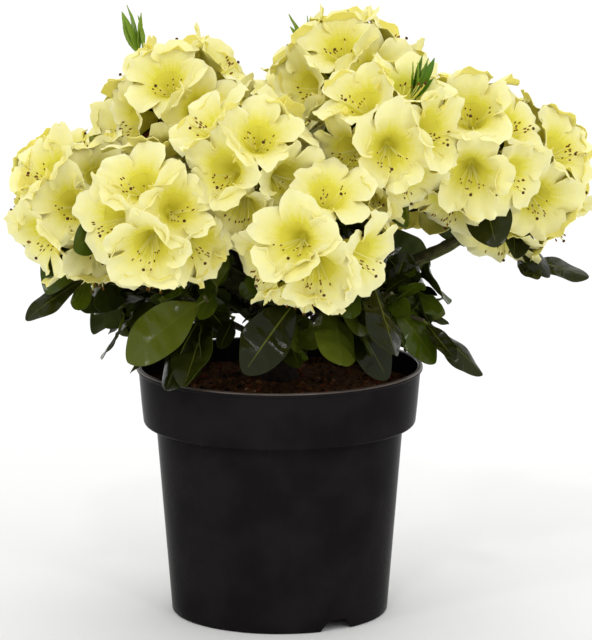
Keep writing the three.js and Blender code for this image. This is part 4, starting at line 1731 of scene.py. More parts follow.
@dataclass
class Woodwork:
    """The trunk and boughs with the relief of their bark."""

    growth: Growth
    paints: Paints
    rng: Random
    trunk_sides: int = 26
    trunk_rings: int = 54
    limb_sides: int = 12
    limb_rings: int = 46
    crease: float = 80.0
    wavelengths: Series = (7.0, 3.6, 2.2)
    waves_each: int = 8
    wrap: float = 9.0
    stretch: float = 0.22
    trunk_relief: float = 0.55
    limb_relief: float = 0.24
    sunk: float = 3.0
    taper: Series = (0.0, 0.1, 0.3, 0.85, 1.0)
    swell: float = 1.0
    head_end: float = 0.6
    flare: float = 0.16
    flare_roots: int = 5
    flare_turn: float = 0.6
    flare_rise: float = 0.25
    collar: float = 1.6
    collar_share: float = 0.12
    scars: int = 7
    scar_span: Pair = (0.25, 0.98)
    scar_height: float = 0.45
    scar_width: float = 0.012
    ripe_from: float = 0.2
    green_from: float = 0.62

    def build(self) -> None:
        """Makes the trunk and the boughs in place of their solids."""
        waves = Waves.sown(self.rng, self.wavelengths, self.waves_each)
        stock = MeshStock("trunk_bark")
        self.trunk(stock, waves)
        settle(stock, self.paints.woods, ["trunk"], self.crease)
        stock = MeshStock("bough_bark")
        for limb in self.growth.boughs.values():
            self.bough(stock, limb, waves)
        nodes = [f"bough_{name}" for name in self.growth.boughs]
        settle(stock, self.paints.woods, nodes, self.crease)

    def relief(self, path: Array, sides: int, waves: Waves) -> Array:
        """Bark relief that runs along a limb.

        Args:
            path: Points along the limb's middle.
            sides: How many sides it has.
            waves: The waves that the relief is made of.

        Returns:
            One height for each ring and side.
        """
        angle = ring_angles(sides)
        length = np.concatenate(((0.0,), np.cumsum(np.linalg.norm(np.diff(path, axis=0), axis=1))))
        spots = np.zeros((len(path), sides, 3))
        spots[..., :2] = np.stack((np.cos(angle), np.sin(angle)), -1) * self.wrap
        spots[..., 2] = length[:, None] * self.stretch
        return waves.at(spots)

    def trunk(self, stock: MeshStock, waves: Waves) -> None:
        """Adds the trunk, with a root flare at the soil.

        Args:
            stock: The piece.
            waves: The relief of its bark.
        """
        sizes, sides = self.growth.trunk, self.trunk_sides
        rise = np.linspace(-self.sunk, sizes.rise, self.trunk_rings)
        path = np.array([self.growth.trunk_at(r) for r in rise])
        knots = (-self.sunk, *(sizes.rise * share for share in self.taper))
        radii = (sizes.foot, sizes.foot, sizes.radius + self.swell, sizes.radius, sizes.head)
        radius = np.interp(rise, knots, (*radii, sizes.head * self.head_end))
        lobes = np.cos(self.flare_roots * ring_angles(sides) + self.flare_turn)
        roots = self.flare * lobes * smooth(-rise, -sizes.rise * self.flare_rise, 0.0)[:, None]
        size = radius[:, None] * (1 + roots) + self.trunk_relief * self.relief(path, sides, waves)
        tube(stock, path, size, sides, WoodTone.OLD)

    def bough(self, stock: MeshStock, limb: Limb, waves: Waves) -> None:
        """Adds a bough, with a collar at its root and old leaf scars along it.

        Args:
            stock: The piece.
            limb: The bough's line and taper.
            waves: The relief of its bark.
        """
        share = np.linspace(0.0, 1.0, self.limb_rings)
        path = bezier(limb.handles, self.limb_rings)
        radius = limb.root + (limb.tip - limb.root) * share
        radius = radius + self.collar * smooth(-share, -self.collar_share, 0.0)
        for scar in self.rng.uniform(*self.scar_span, self.scars):
            radius = radius + self.scar_height * np.exp(-(((share - scar) / self.scar_width) ** 2))
        size = radius[:, None] + self.limb_relief * self.relief(path, self.limb_sides, waves)
        tones = np.where(share[1:] < self.ripe_from, WoodTone.OLD, WoodTone.RIPE)
        tones = np.where(share[1:] > self.green_from, WoodTone.GREEN, tones)
        tube(stock, path, size, self.limb_sides, tones)


@dataclass
class Corolla:
    """One flower's funnel: a fluted tube and five rounded, ruffled lobes that overlap."""

    rule: FlowerRule
    rng: Random
    rows: int = 12
    columns: int = 16
    crowd: float = 1.2
    thickness: float = 0.45
    reach: float = 38.5
    lobe_round: Pair = (14.8, 17.2)
    lobe_size: Pair = (0.95, 1.03)
    spread: float = 43.5
    spread_spare: float = 0.5
    split: Pair = (0.3, 0.75)
    dent: float = 0.09
    dent_place: float = 5.0
    dent_width: float = 7.0
    edge_waves: tuple[Pair, ...] = ((0.02, 0.21), (0.016, 0.37))
    outer: Pair = (19.0, 38.0)
    ruffles: tuple[tuple[int, float], ...] = ((10, 1.2), (17, 1.1), (23, 0.7))
    swell: float = 1.7
    fold: Pair = (-7.0, 3.0)
    fold_half: Pair = (-33.0, -3.0)
    fold_power: float = 1.5
    groove: float = 0.9
    groove_width: float = 6.0
    lap: float = 2.3
    lap_from: float = 0.25
    give: float = 0.62
    give_power: float = 1.3
    step: float = 5.0
    blur: Series = (0.12, 0.24, 0.28, 0.24, 0.12)
    curl: Pair = (-0.1, 0.45)
    curl_depth: float = 4.0
    flare_out: Pair = (0.24, 0.25)
    flare_back: float = 0.34
    flare_dip: float = 0.04
    flare_points: int = 24
    tube_rows: tuple[Pair, ...] = (
        (1.3, 0.1), (1.2, 2.2), (1.8, 3.2), (5.0, 4.8), (10.0, 7.0), (15.0, 9.6), (19.6, 12.5),
    )
    tube_columns: int = 16
    tube_tone_rows: int = 3
    flute: float = 0.06
    flute_full: float = 8.0
    throat_tone: float = 0.06
    tone_rise: float = 1.02
    upper_shade: float = 0.16
    streak: float = 0.06
    lobe_shade: float = 0.03

    def shift(self, growth: Growth, flower: Flower) -> Array:
        """How far the rim is moved by what it meets.

        Args:
            growth: The growth rule, which holds petals inside their walls.
            flower: The flower.

        Returns:
            The move at every step round the flower, from its first lobe's middle.
        """
        rule = self.rule
        half = 180.0 / rule.lobes
        offsets = np.array((-half, -rule.shoulder_angle, 0.0, rule.shoulder_angle))
        angles = (2 * half * np.arange(rule.lobes)[:, None] + offsets).ravel()
        radii = np.tile((rule.notch, rule.shoulder, rule.shoulder, rule.shoulder), rule.lobes)
        depth = rule.shoulder_depth
        depths = np.tile((rule.notch_depth, depth, depth, depth), rule.lobes)
        free = flower.point(flower.roll + angles, radii, depths)
        moved = growth.hold(flower.normals, flower.offsets, flower, free) - free
        spots = np.arange(0.0, 360.0, self.step)
        move = np.stack([np.interp(spots, angles, moved[:, k], period=360.0) for k in range(3)], -1)
        middle = len(self.blur) // 2
        return self.give * sum(w * np.roll(move, k - middle, axis=0) for k, w in enumerate(self.blur))

    def flare(self, curl: float) -> Array:
        """The section of the flare.

        Args:
            curl: How far the rim curls back.

        Returns:
            Rows of radius and depth, from throat to rim.
        """
        rule = self.rule
        start = np.array((rule.throat, rule.throat_depth))
        end = np.array((self.reach, rule.shoulder_depth - self.curl_depth * curl))
        span = np.linalg.norm(end - start)
        out = start + span * np.array(self.flare_out)
        back = end + span * np.array((-self.flare_back, self.flare_back * curl - self.flare_dip))
        return bezier(np.array((start, out, back, end)), self.flare_points)

    def build(self, stock: MeshStock, growth: Growth, flower: Flower) -> None:
        """Adds a flower's tube and lobes to a piece.

        Args:
            stock: The piece.
            growth: The growth rule.
            flower: The flower.
        """
        move = self.shift(growth, flower)
        flare = self.flare(self.rng.uniform(*self.curl))
        pin = self.rng.choice((-1.0, 1.0)) * self.lap
        waves = self.rng.uniform(0, 2 * math.pi, len(self.ruffles))
        self.funnel(stock, flower)
        spots = np.arange(0.0, 360.0, self.step)
        for lobe in range(self.rule.lobes):
            grid, turn, s = self.lobe(flower, lobe, flare, pin, waves)
            moved = [np.interp(turn, spots, move[:, k], period=360.0) for k in range(3)]
            grid = grid + np.stack(moved, -1) * (s**self.give_power)[..., None]
            tones = self.tones(s, turn + flower.roll)
            sheet(stock, grid, self.thickness, tones, PetalTone.BACK)

    def funnel(self, stock: MeshStock, flower: Flower) -> None:
        """Adds the tube that the lobes spring from, closed at its foot.

        Args:
            stock: The piece.
            flower: The flower.
        """
        depth, radius = np.array(self.tube_rows).T
        angle = np.linspace(0.0, 360.0, self.tube_columns)
        folds = np.cos(np.radians(self.rule.lobes * angle))
        flute = 1 + self.flute * folds * smooth(depth, 0.0, self.flute_full)[:, None]
        grid = flower.point(flower.roll + angle, radius[:, None] * flute, depth[:, None])
        rings = np.arange(len(depth) - 1) // self.tube_tone_rows
        sheet(stock, grid, self.thickness, PetalTone.WELL + np.repeat(rings, len(angle) - 1), PetalTone.TUBE)

    def lobe(
        self, flower: Flower, lobe: int, flare: Array, pin: float, waves: Array
    ) -> tuple[Array, Array, Array]:
        """The shape of one lobe before its neighbours press on it.

        Args:
            flower: The flower.
            lobe: The lobe's number.
            flare: The flare's section, from flare().
            pin: How far one edge of a lobe lies before the next lobe, and the other behind.
            waves: Where each of the ruffles starts.

        Returns:
            The points in rows from throat to rim, their angles round the flower and their shares of
            the way to the rim.
        """
        rule, half = self.rule, 180.0 / self.rule.lobes
        s = np.linspace(0.0, 1.0, self.rows)[:, None]
        t = np.sin(np.linspace(-self.crowd, self.crowd, self.columns))[None] / math.sin(self.crowd)
        bow = self.rng.uniform(*self.lobe_round)
        out = self.reach - bow
        widest = min(self.spread, math.degrees(math.asin(bow / out)) - self.spread_spare)
        apart = smooth(s, *self.split)
        phi = t * (half + (widest - half) * apart)
        turn = 2 * half * lobe + phi
        radius = rule.throat + (self.rim(phi, bow, out) - rule.throat) * s
        depth = np.interp(radius, flare[:, 0], flare[:, 1])
        outer = smooth(radius, *self.outer)
        for (count, height), start in zip(self.ruffles, waves):
            depth = depth + height * outer * np.sin(np.radians(turn) * count + start)
        depth = depth + self.swell * outer * (np.cos(np.radians(turn) * rule.lobes) - 1)
        middle = smooth(-np.abs(phi), *self.fold_half)
        depth = depth + self.rng.uniform(*self.fold) * outer**self.fold_power * middle
        depth = depth - self.groove * np.exp(-((phi / self.groove_width) ** 2)) * 4 * s * (1 - s)
        depth = depth + pin * np.sign(t) * smooth(np.abs(t), self.lap_from, 1.0) * apart
        return flower.point(flower.roll + turn, radius, depth), turn, s + 0 * t

    def rim(self, phi: Array, bow: float, out: float) -> Array:
        """How far out a lobe's rim stands: a round edge, uneven and dented near its middle.

        Args:
            phi: Degrees from the lobe's middle.
            bow: The radius of the lobe's round edge.
            out: How far out the middle of that edge stands.

        Returns:
            The rim's radius at each angle.
        """
        rim = np.sqrt(bow**2 - (out * np.sin(np.radians(phi))) ** 2)
        rim = (rim + out * np.cos(np.radians(phi))) * self.rng.uniform(*self.lobe_size)
        dent = self.rng.uniform(0.0, self.dent)
        place = self.rng.uniform(-self.dent_place, self.dent_place)
        rim = rim * (1 - dent * np.exp(-(((phi - place) / self.dent_width) ** 2)))
        uneven = 1.0
        starts = self.rng.uniform(0, 2 * math.pi, len(self.edge_waves))
        for (height, pace), start in zip(self.edge_waves, starts):
            uneven = uneven + height * np.sin(phi * pace + start)
        return rim * uneven

    def tones(self, s: Array, turn: Array) -> Array:
        """The tone of each face of a lobe, deeper in the throat and on the upper side, in streaks.

        Args:
            s: The points' shares of the way to the rim.
            turn: Their angles round the flower from its upper side.

        Returns:
            Numbers of finishes, in rows from throat to rim.
        """
        middle = (s[1:, 1:] + s[:-1, :-1]) / 2
        side = (turn[1:, 1:] + turn[:-1, :-1]) / 2
        upper = 0.5 + 0.5 * np.cos(np.radians(side))
        value = self.throat_tone + middle * self.tone_rise - self.upper_shade * upper * (1 - middle)
        streaks = self.rng.normal(0.0, self.streak, (1, value.shape[1])) * (1 - middle)
        value = value + streaks + self.rng.normal(0.0, self.lobe_shade)
        share = np.interp(value, PETAL_STOPS, np.linspace(0.0, 1.0, len(PETAL_STOPS)))
        steps = np.round(share * PetalTone.EDGE + self.rng.uniform(-0.5, 0.5, value.shape))
        return np.clip(steps.astype(int), PetalTone.WELL, PetalTone.EDGE)


@dataclass
class Heart:
    """What stands in a flower: stamens and a style, which lie along its lower side."""

    rng: Random
    stamens: int = 10
    fan: float = 80.0
    far: Pair = (6.0, 15.0)
    depth: Pair = (24.0, 34.0)
    foot_radii: Pair = (1.5, 3.5)
    foot_depths: Pair = (4.0, 13.0)
    bow_share: float = 0.75
    bow_depth: float = 9.0
    lift: Pair = (0.5, 3.0)
    filament: Pair = (0.42, 0.3)
    filament_rings: int = 5
    anther_turn: float = 1.5
    anther_length: Pair = (2.2, 3.2)
    anther_radius: float = 0.72
    style_fan: float = 14.0
    style_radii: Series = (0.5, 4.0, 11.0, 15.0)
    style_depths: Series = (3.0, 14.0, 27.0, 36.0)
    style_lift: float = 4.0
    style: Pair = (0.6, 0.45)
    style_rings: int = 7
    stigma_length: float = 2.2
    stigma_radius: float = 1.4

    def build(self, stock: MeshStock, flower: Flower) -> None:
        """Adds a flower's stamens and its style to a piece.

        Args:
            stock: The piece.
            flower: The flower.
        """
        for _ in range(self.stamens):
            side = Flower.LOWER_SIDE + self.rng.uniform(-self.fan, self.fan)
            far, depth = self.rng.uniform(*self.far), self.rng.uniform(*self.depth)
            radii = np.array((*self.foot_radii, far * self.bow_share, far))
            handles = flower.point(side, radii, np.array((*self.foot_depths, depth - self.bow_depth, depth)))
            handles[3] += flower.up * self.rng.uniform(*self.lift)
            path = bezier(handles, self.filament_rings)
            tube(stock, path, np.linspace(*self.filament, len(path)), 3, HeartTone.FILAMENT)
            turned = flower.across * self.rng.uniform(-self.anther_turn, self.anther_turn)
            axis = unit(path[-1] - path[-2] + turned)
            length = self.rng.uniform(*self.anther_length)
            knob(stock, path[-1], axis, length, self.anther_radius, HeartTone.ANTHER, 4, 1)
        side = Flower.LOWER_SIDE + self.rng.uniform(-self.style_fan, self.style_fan)
        handles = flower.point(side, np.array(self.style_radii), np.array(self.style_depths))
        handles[3] += flower.up * self.style_lift
        path = bezier(handles, self.style_rings)
        tube(stock, path, np.linspace(*self.style, len(path)), 4, HeartTone.STYLE)
        axis = unit(path[-1] - path[-2])
        knob(stock, path[-1], axis, self.stigma_length, self.stigma_radius, HeartTone.STIGMA, 6, 2)


@dataclass
class Stalks:
    """What carries the flowers of a truss: their stalks, the stem, bud scales and bracts."""

    growth: Growth
    rng: Random
    sag: Pair = (0.5, 2.0)
    stalk_inset: float = 2.0
    stalk_past: float = 0.8
    stalk_radii: Series = (1.5, 1.25, 1.15, 1.15, 1.2, 1.5, 2.3)
    stalk_sides: int = 6
    stem_inset: float = 1.5
    stem_rings: int = 16
    stem_sides: int = 9
    stem_shares: Series = (0.0, 0.7, 0.9, 1.0)
    stem_neck: float = 3.2
    stem_end: float = 1.6
    young_from: float = 0.45
    scales: int = 8
    scale_below: Pair = (3.0, 13.0)
    scale_tilt: Pair = (30.0, 75.0)
    scale_swing: float = 15.0
    scale_out: float = 2.0
    scale_length: Pair = (9.0, 15.0)
    scale_width: float = 0.55
    scale_droop: float = 0.1
    scale_rows: int = 8
    scale_columns: int = 5
    scale_ends: Pair = (0.08, 0.97)
    scale_power: float = 0.6
    scale_hollow: float = 0.5
    scale_thickness: float = 0.5
    red_share: float = 0.6
    bracts_each: int = 6
    bract_polars: range = range(15, 130, 8)
    bract_turns: range = range(0, 360, 12)
    bract_clear: float = 0.95
    bract_out: float = 4.0
    bract_length: Pair = (44.0, 58.0)
    bract_width: float = 0.46
    bract_ahead: float = 26.0

    def stalk(self, stock: MeshStock, flower: Flower) -> None:
        """Adds a flower's stalk, with a small calyx where the funnel begins.

        Args:
            stock: The piece.
            flower: The flower.
        """
        middle = (flower.start + flower.base) / 2 - UP * self.rng.uniform(*self.sag)
        foot = flower.start - flower.way * self.stalk_inset
        end = flower.base + flower.facing * self.stalk_past
        path = bezier(np.array((foot, middle, end)), len(self.stalk_radii))
        tube(stock, path, np.array(self.stalk_radii), self.stalk_sides, StemTone.PEDICEL)

    def stem(self, stock: MeshStock, mass: Mass) -> None:
        """Adds a truss's stem and the bud scales round its neck.

        Args:
            stock: The piece.
            mass: The truss.
        """
        rule, rings = self.growth.stem, self.stem_rings
        top = mass.hub + mass.axis * self.growth.flower.rachis_top
        path = np.linspace(mass.foot - mass.axis * self.stem_inset, top, rings)
        sizes = (rule.stem_root, rule.stem_tip, self.stem_neck, self.stem_end)
        radii = np.interp(np.linspace(0, 1, rings), self.stem_shares, sizes)
        tones = np.where(np.linspace(0, 1, rings - 1) < self.young_from, StemTone.STEM, StemTone.YOUNG)
        tube(stock, path, radii, self.stem_sides, tones)
        for k in range(self.scales):
            root = mass.hub - mass.axis * self.rng.uniform(*self.scale_below)
            tilt = self.rng.uniform(*self.scale_tilt)
            swing = self.rng.uniform(-self.scale_swing, self.scale_swing)
            way = around(mass.axis, tilt, GOLDEN_ANGLE * k + swing)
            length = self.rng.uniform(*self.scale_length)
            start = root + way * self.scale_out
            leaf = Leaf.grown(start, way, mass.axis, length, self.scale_width, self.scale_droop)
            self.scale(stock, leaf)

    def scale(self, stock: MeshStock, leaf: Leaf) -> None:
        """Adds a red-brown scale or bract, hollow along its length.

        Args:
            stock: The piece.
            leaf: Its place and size.
        """
        tone = StemTone.SCALE if self.rng.random() < self.red_share else StemTone.SCALE_DRY
        s = np.linspace(0.0, 1.0, self.scale_rows)[:, None]
        t = np.linspace(-1.0, 1.0, self.scale_columns)[None]
        outline = np.sin(math.pi * np.clip(s, *self.scale_ends)) ** self.scale_power
        half = leaf.length * leaf.width * 0.5 * outline
        grid = leaf.point(s, t * half, self.scale_hollow * half * t**2)
        sheet(stock, grid, self.scale_thickness, tone, tone)

    def bracts(self, stock: MeshStock, mass: Mass, flowers: list[Flower]) -> None:
        """Adds long bracts where the flowers of a truss leave the widest gaps.

        Args:
            stock: The piece.
            mass: The truss.
            flowers: Its flowers, which the bracts keep out of.
        """
        taken = [flower.way for flower in flowers]
        ways = [around(mass.axis, p, t) for p, t in product(self.bract_polars, self.bract_turns)]
        found = 0
        for way in sorted(ways, key=lambda w: max(w @ other for other in taken)):
            near = max(way @ other for other in taken)
            if found == self.bracts_each or near > self.bract_clear:
                break
            length = self.rng.uniform(*self.bract_length)
            start = mass.hub + way * self.bract_out
            leaf = Leaf.grown(start, way, mass.axis, length, self.bract_width, 0.0)
            if self.growth.leaf_fits(mass, leaf) and not self.growth.meets(leaf, flowers, self.bract_ahead):
                self.scale(stock, leaf)
                taken.append(way)
                found += 1


@dataclass
class Blossom:
    """All trusses: corollas, stamens and styles, stalks, stems and bud scales."""

    growth: Growth
    paints: Paints
    corolla: Corolla
    heart: Heart
    stalks: Stalks
    groups: int = 4

    def build(self) -> dict[str, list[Flower]]:
        """Makes the blossom in place of the trusses' solids.

        Returns:
            The flowers of each truss by its name.
        """
        trusses = self.growth.trusses
        grown = {m.row.name: self.growth.flowers(m) for m in trusses}
        per_piece = math.ceil(len(trusses) / self.groups)
        for n in range(self.groups):
            part = trusses[n * per_piece : (n + 1) * per_piece]
            stock = MeshStock(f"corollas_{n + 1}")
            for mass in part:
                for flower in grown[mass.row.name]:
                    self.corolla.build(stock, self.growth, flower)
            settle(stock, self.paints.petals, [m.node for m in part])
        hearts, stalks = MeshStock("flower_hearts"), MeshStock("flower_stalks")
        for mass in trusses:
            flowers = grown[mass.row.name]
            for flower in flowers:
                self.heart.build(hearts, flower)
                self.stalks.stalk(stalks, flower)
            self.stalks.stem(stalks, mass)
            self.stalks.bracts(stalks, mass, flowers)
        nodes = [m.node for m in trusses]
        settle(hearts, self.paints.hearts, nodes)
        settle(stalks, self.paints.stems, nodes)
        return grown


@dataclass
class LeafBlade:
    """The make of a leaf: a puckered blade with a sunk midrib, on a short stalk."""

    rng: Random
    rows: int = 23
    fine_rows: int = 15
    crowd: float = 1.5
    columns: Series = (-1.0, -0.8, -0.45, -0.045, 0.045, 0.45, 0.8, 1.0)
    thickness: float = 0.6
    rib_half: float = 0.1
    rib_foot: float = 1.5
    rib_taper: float = 1.3
    rib_end: float = 0.93
    outline: Pair = (1.3, 0.62)
    young_outline: Pair = (0.92, 0.9)
    young_wide: float = 1.2
    least_half: float = 0.7
    cup: Pair = (-0.5, 0.26)
    cup_power: float = 1.3
    edge_pace: float = 11.0
    edge_height: float = 0.14
    veins: float = 5.0
    vein_slant: float = 4.5
    pucker: float = 0.085
    groove: float = 0.6
    tip_rise: float = 0.03
    bend: float = 0.07
    tone_shares: Series = (0.3, 0.32, 0.26, 0.12)
    stalk_end: float = 0.09
    stalk_past: float = 0.05
    stalk_sink: float = 0.4
    stalk_radii: Series = (1.25, 1.0, 0.9, 0.6)
    stalk_sides: int = 5

    def lift(self, x: Array, t: Array, half: Array) -> Array:
        """How far the blade stands above its plane: cupped, waved at the edge, puckered and grooved.

        Args:
            x: Shares of the blade's length, in rows.
            t: Places across it, from -1 to 1.
            half: Half its width at each row.

        Returns:
            The lift of each point.
        """
        wave = self.rng.uniform(0, 2 * math.pi, 3)
        lift = self.rng.uniform(*self.cup) * half * np.abs(t) ** self.cup_power
        edge = np.sin(self.edge_pace * x + np.where(t > 0, wave[0], wave[2]))
        lift = lift + self.edge_height * half * edge * t**2
        ripple = np.sin(2 * math.pi * self.veins * x - self.vein_slant * np.abs(t) + wave[1])
        lift = lift + self.pucker * half * ripple * np.sin(math.pi * np.abs(t)) * np.sin(math.pi * x)
        return lift - self.groove * np.exp(-((t / self.rib_half) ** 2)) * np.sin(math.pi * x)

    def build(
        self, stock: MeshStock, leaf: Leaf, young: bool = False, fine: bool = False,
        arch: float = 0.14,
    ) -> None:
        """Adds one leaf with its stalk to a piece.

        Args:
            stock: The piece.
            leaf: The leaf's place and size.
            young: Whether it is a narrow leaf of a young shoot.
            fine: Whether it is a leaf of a fine twig, which has fewer rows of points.
            arch: How far its tip may curl down, as a share of its length.
        """
        rows, columns = self.fine_rows if fine or young else self.rows, len(self.columns)
        x = 1 - (1 - np.linspace(0.0, 1.0, rows)[:, None]) ** self.crowd
        t = np.array(self.columns)[None]
        t = np.where(np.abs(t) < self.rib_half, t * (self.rib_foot - self.rib_taper * x), t)
        lean, fullness = self.young_outline if young else self.outline
        width = leaf.width * (self.young_wide if young else 1.0)
        half = 0.5 * leaf.length * width * np.sin(math.pi * x**lean) ** fullness
        half = np.maximum(half, self.least_half * (1 - x))
        lift = self.lift(x, t, half)
        lift = lift + self.rng.uniform(-arch, self.tip_rise) * leaf.length * x**2
        bend = self.rng.uniform(-self.bend, self.bend) * leaf.length * x**2
        grid = leaf.point(self.stalk_end + (1 - self.stalk_end) * x, t * half + bend, lift)
        if young:
            tone = self.rng.choice((LeafTone.YOUNG, LeafTone.YOUNG_LIGHT))
            rib = under = LeafTone.YOUNG_LIGHT
        else:
            tone = self.rng.choice(len(self.tone_shares), p=self.tone_shares)
            rib, under = LeafTone.RIB, LeafTone.UNDER
        tones = np.full((rows - 1, columns - 1), tone)
        tones[x[1:, 0] < self.rib_end, columns // 2 - 1] = rib
        sheet(stock, grid, self.thickness, tones, under)
        share = np.linspace(0.0, self.stalk_end + self.stalk_past, len(self.stalk_radii))
        path = leaf.point(share, 0.0, -self.stalk_sink)
        tube(stock, path, np.array(self.stalk_radii), self.stalk_sides, rib)


@dataclass(frozen=True)
class Rod:
    """The make of a straight twig: its radii at root and tip, its rings, its sides and its tone."""

    root: float
    tip: float
    rings: int
    sides: int
    tone: StemTone

    def add(self, stock: MeshStock, start: Array, end: Array) -> None:
        """Adds a twig of this make to a piece."""
        radii = np.linspace(self.root, self.tip, self.rings)
        tube(stock, np.linspace(start, end, self.rings), radii, self.sides, self.tone)


@dataclass
class Foliage:
    """All leaves: on trusses and sprays, on finer twigs between them, and on young shoots."""

    growth: Growth
    paints: Paints
    rng: Random
    blade: LeafBlade
    leaves: MeshStock = field(default_factory=lambda: MeshStock("truss_leaves"))
    twigs: MeshStock = field(default_factory=lambda: MeshStock("leafy_twigs"))
    shoot_rod: Rod = Rod(1.9, 1.5, 8, 7, StemTone.YOUNG)
    low_rod: Rod = Rod(1.9, 1.5, 8, 7, StemTone.TWIG)
    spray_rod: Rod = Rod(2.4, 1.9, 14, 8, StemTone.TWIG)
    side_rod: Rod = Rod(1.8, 1.4, 8, 7, StemTone.STEM)
    fine_rod: Rod = Rod(1.5, 1.1, 6, 6, StemTone.STEM)
    low_arch: float = 0.02
    shoot_extra: int = 6
    shoot_splay: Pair = (8.0, 30.0)
    shoot_first: float = 60.0
    shoot_length: Pair = (0.55, 0.95)
    truss_twigs: int = 5
    spray_twigs: int = 27
    truss_joins: Pair = (0.2, 0.7)
    spray_joins: Pair = (0.2, 0.95)
    twig_tilt: Pair = (45.0, 85.0)
    twig_swing: float = 60.0
    twig_length: Pair = (12.0, 30.0)
    twig_leaves: int = 4
    young_share: float = 0.2
    leaf_width: float = 0.5
    leaf_tilt: Pair = (35.0, 90.0)
    leaf_length: Pair = (0.42, 0.92)
    stagger: float = 6.0

    def build(self, grown: dict[str, list[Flower]]) -> None:
        """Makes all leaves and leafy twigs in place of the sprays' solids and the trusses' leaves.

        Args:
            grown: The flowers of each truss, which leaves keep out of.
        """
        growth, rule = self.growth, self.growth.leaf
        for mass in growth.trusses:
            neck = mass.hub - mass.axis * rule.first_below_hub
            for leaf in growth.whorl(mass, neck, mass.axis, rule.whorl, rule.whorl_depth):
                self.blade.build(self.leaves, leaf)
            if mass.row.shoot:
                self.shoot(mass)
            self.low_twig(mass)
            self.fine_twigs(mass, grown[mass.row.name])
        settle(self.leaves, self.paints.leaves, [m.node for m in growth.trusses])
        self.leaves = MeshStock("spray_leaves")
        for mass in growth.sprays:
            self.spray(mass)
            self.low_twig(mass)
            self.fine_twigs(mass, [])
        nodes = [m.node for m in growth.sprays]
        settle(self.leaves, self.paints.leaves, nodes)
        settle(self.twigs, self.paints.stems, nodes)

    def shoot(self, mass: Mass) -> None:
        """Adds a young shoot: its twig, the leaves of its solid and a few more within their reach.

        Args:
            mass: A truss whose row has a shoot.
        """
        root, tip, grown = self.growth.shoot(mass)
        rule, way = self.growth.stem, unit(tip - root)
        self.shoot_rod.add(self.twigs, root, tip)
        for leaf in grown:
            self.blade.build(self.leaves, leaf, young=True)
        for k in range(self.shoot_extra):
            leaf_way = around(way, self.rng.uniform(*self.shoot_splay), GOLDEN_ANGLE * k + self.shoot_first)
            leaf_way = unit(leaf_way + (UP - leaf_way) * rule.shoot_upright)
            length = rule.shoot_leaf * self.rng.uniform(*self.shoot_length)
            start = tip - way * self.rng.uniform(0, self.stagger)
            leaf = Leaf.grown(start, leaf_way, way, length, rule.shoot_width, 0.0)
            if self.growth.leaf_fits(mass, leaf):
                self.blade.build(self.leaves, leaf, young=True)

    def low_twig(self, mass: Mass) -> None:
        """Adds a mass's low twig and its leaves, if it has one.

        Args:
            mass: A truss or spray.
        """
        if not mass.row.twig:
            return
        root, tip, found = self.growth.low_twig(mass)
        self.low_rod.add(self.twigs, root, tip)
        for leaf in found:
            self.blade.build(self.leaves, leaf, arch=self.low_arch)

    def spray(self, mass: Mass) -> None:
        """Adds a leafy spray: its stem, side twigs and whorls.

        Args:
            mass: The spray.
        """
        depth = self.growth.stem.spray_whorl_depth
        grown = self.growth.twigs(mass)
        found = self.growth.whorl(mass, mass.hub, mass.axis, mass.row.leaves, depth)
        for _, way, tip in grown:
            found += self.growth.whorl(mass, tip, way, mass.row.side_leaves, depth)
        for leaf in found:
            self.blade.build(self.leaves, leaf)
        self.spray_rod.add(self.twigs, mass.foot, mass.hub)
        for root, _, tip in grown:
            self.side_rod.add(self.twigs, root, tip)

    def fine_twigs(self, mass: Mass, flowers: list[Flower]) -> None:
        """Carries the rule on to finer twigs, each with a small whorl of leaves that fit.

        Args:
            mass: The truss or spray that they fill.
            flowers: The flowers that the leaves keep out of.
        """
        growth, spray = self.growth, mass.kind is Kind.SPRAY
        joins = self.spray_joins if spray else self.truss_joins
        for k in range(self.spray_twigs if spray else self.truss_twigs):
            root = mass.foot + (mass.hub - mass.foot) * self.rng.uniform(*joins)
            tilt, swing = self.rng.uniform(*self.twig_tilt), self.rng.uniform(0, self.twig_swing)
            way = around(mass.axis, tilt, GOLDEN_ANGLE * k + swing)
            tip = root + way * self.rng.uniform(*self.twig_length)
            found, young = [], not spray and self.rng.random() < self.young_share
            width = growth.stem.shoot_width if young else self.leaf_width
            first = self.rng.uniform(0, 360)
            for j in range(self.twig_leaves):
                leaf_way = around(way, self.rng.uniform(*self.leaf_tilt), first + GOLDEN_ANGLE * j)
                length = growth.leaf.length * self.rng.uniform(*self.leaf_length)
                start = tip - way * self.rng.uniform(0, self.stagger)
                leaf = Leaf.grown(start, leaf_way, way, length, width, growth.leaf.droop)
                if growth.leaf_fits(mass, leaf) and not growth.meets(leaf, flowers):
                    found.append(leaf)
            path = np.linspace(root, tip, self.fine_rod.rings)
            if found and growth.clear_of_limbs(path[2:]).all() and mass.holds(path).all():
                self.fine_rod.add(self.twigs, root, tip)
                for leaf in found:
                    self.blade.build(self.leaves, leaf, young, fine=True)


@dataclass(frozen=True)
class Lamp:
    """A distant light: its name, bearing, height above the floor, power and breadth in degrees."""

    name: str
    bearing: float
    height: float
    power: float
    breadth: float


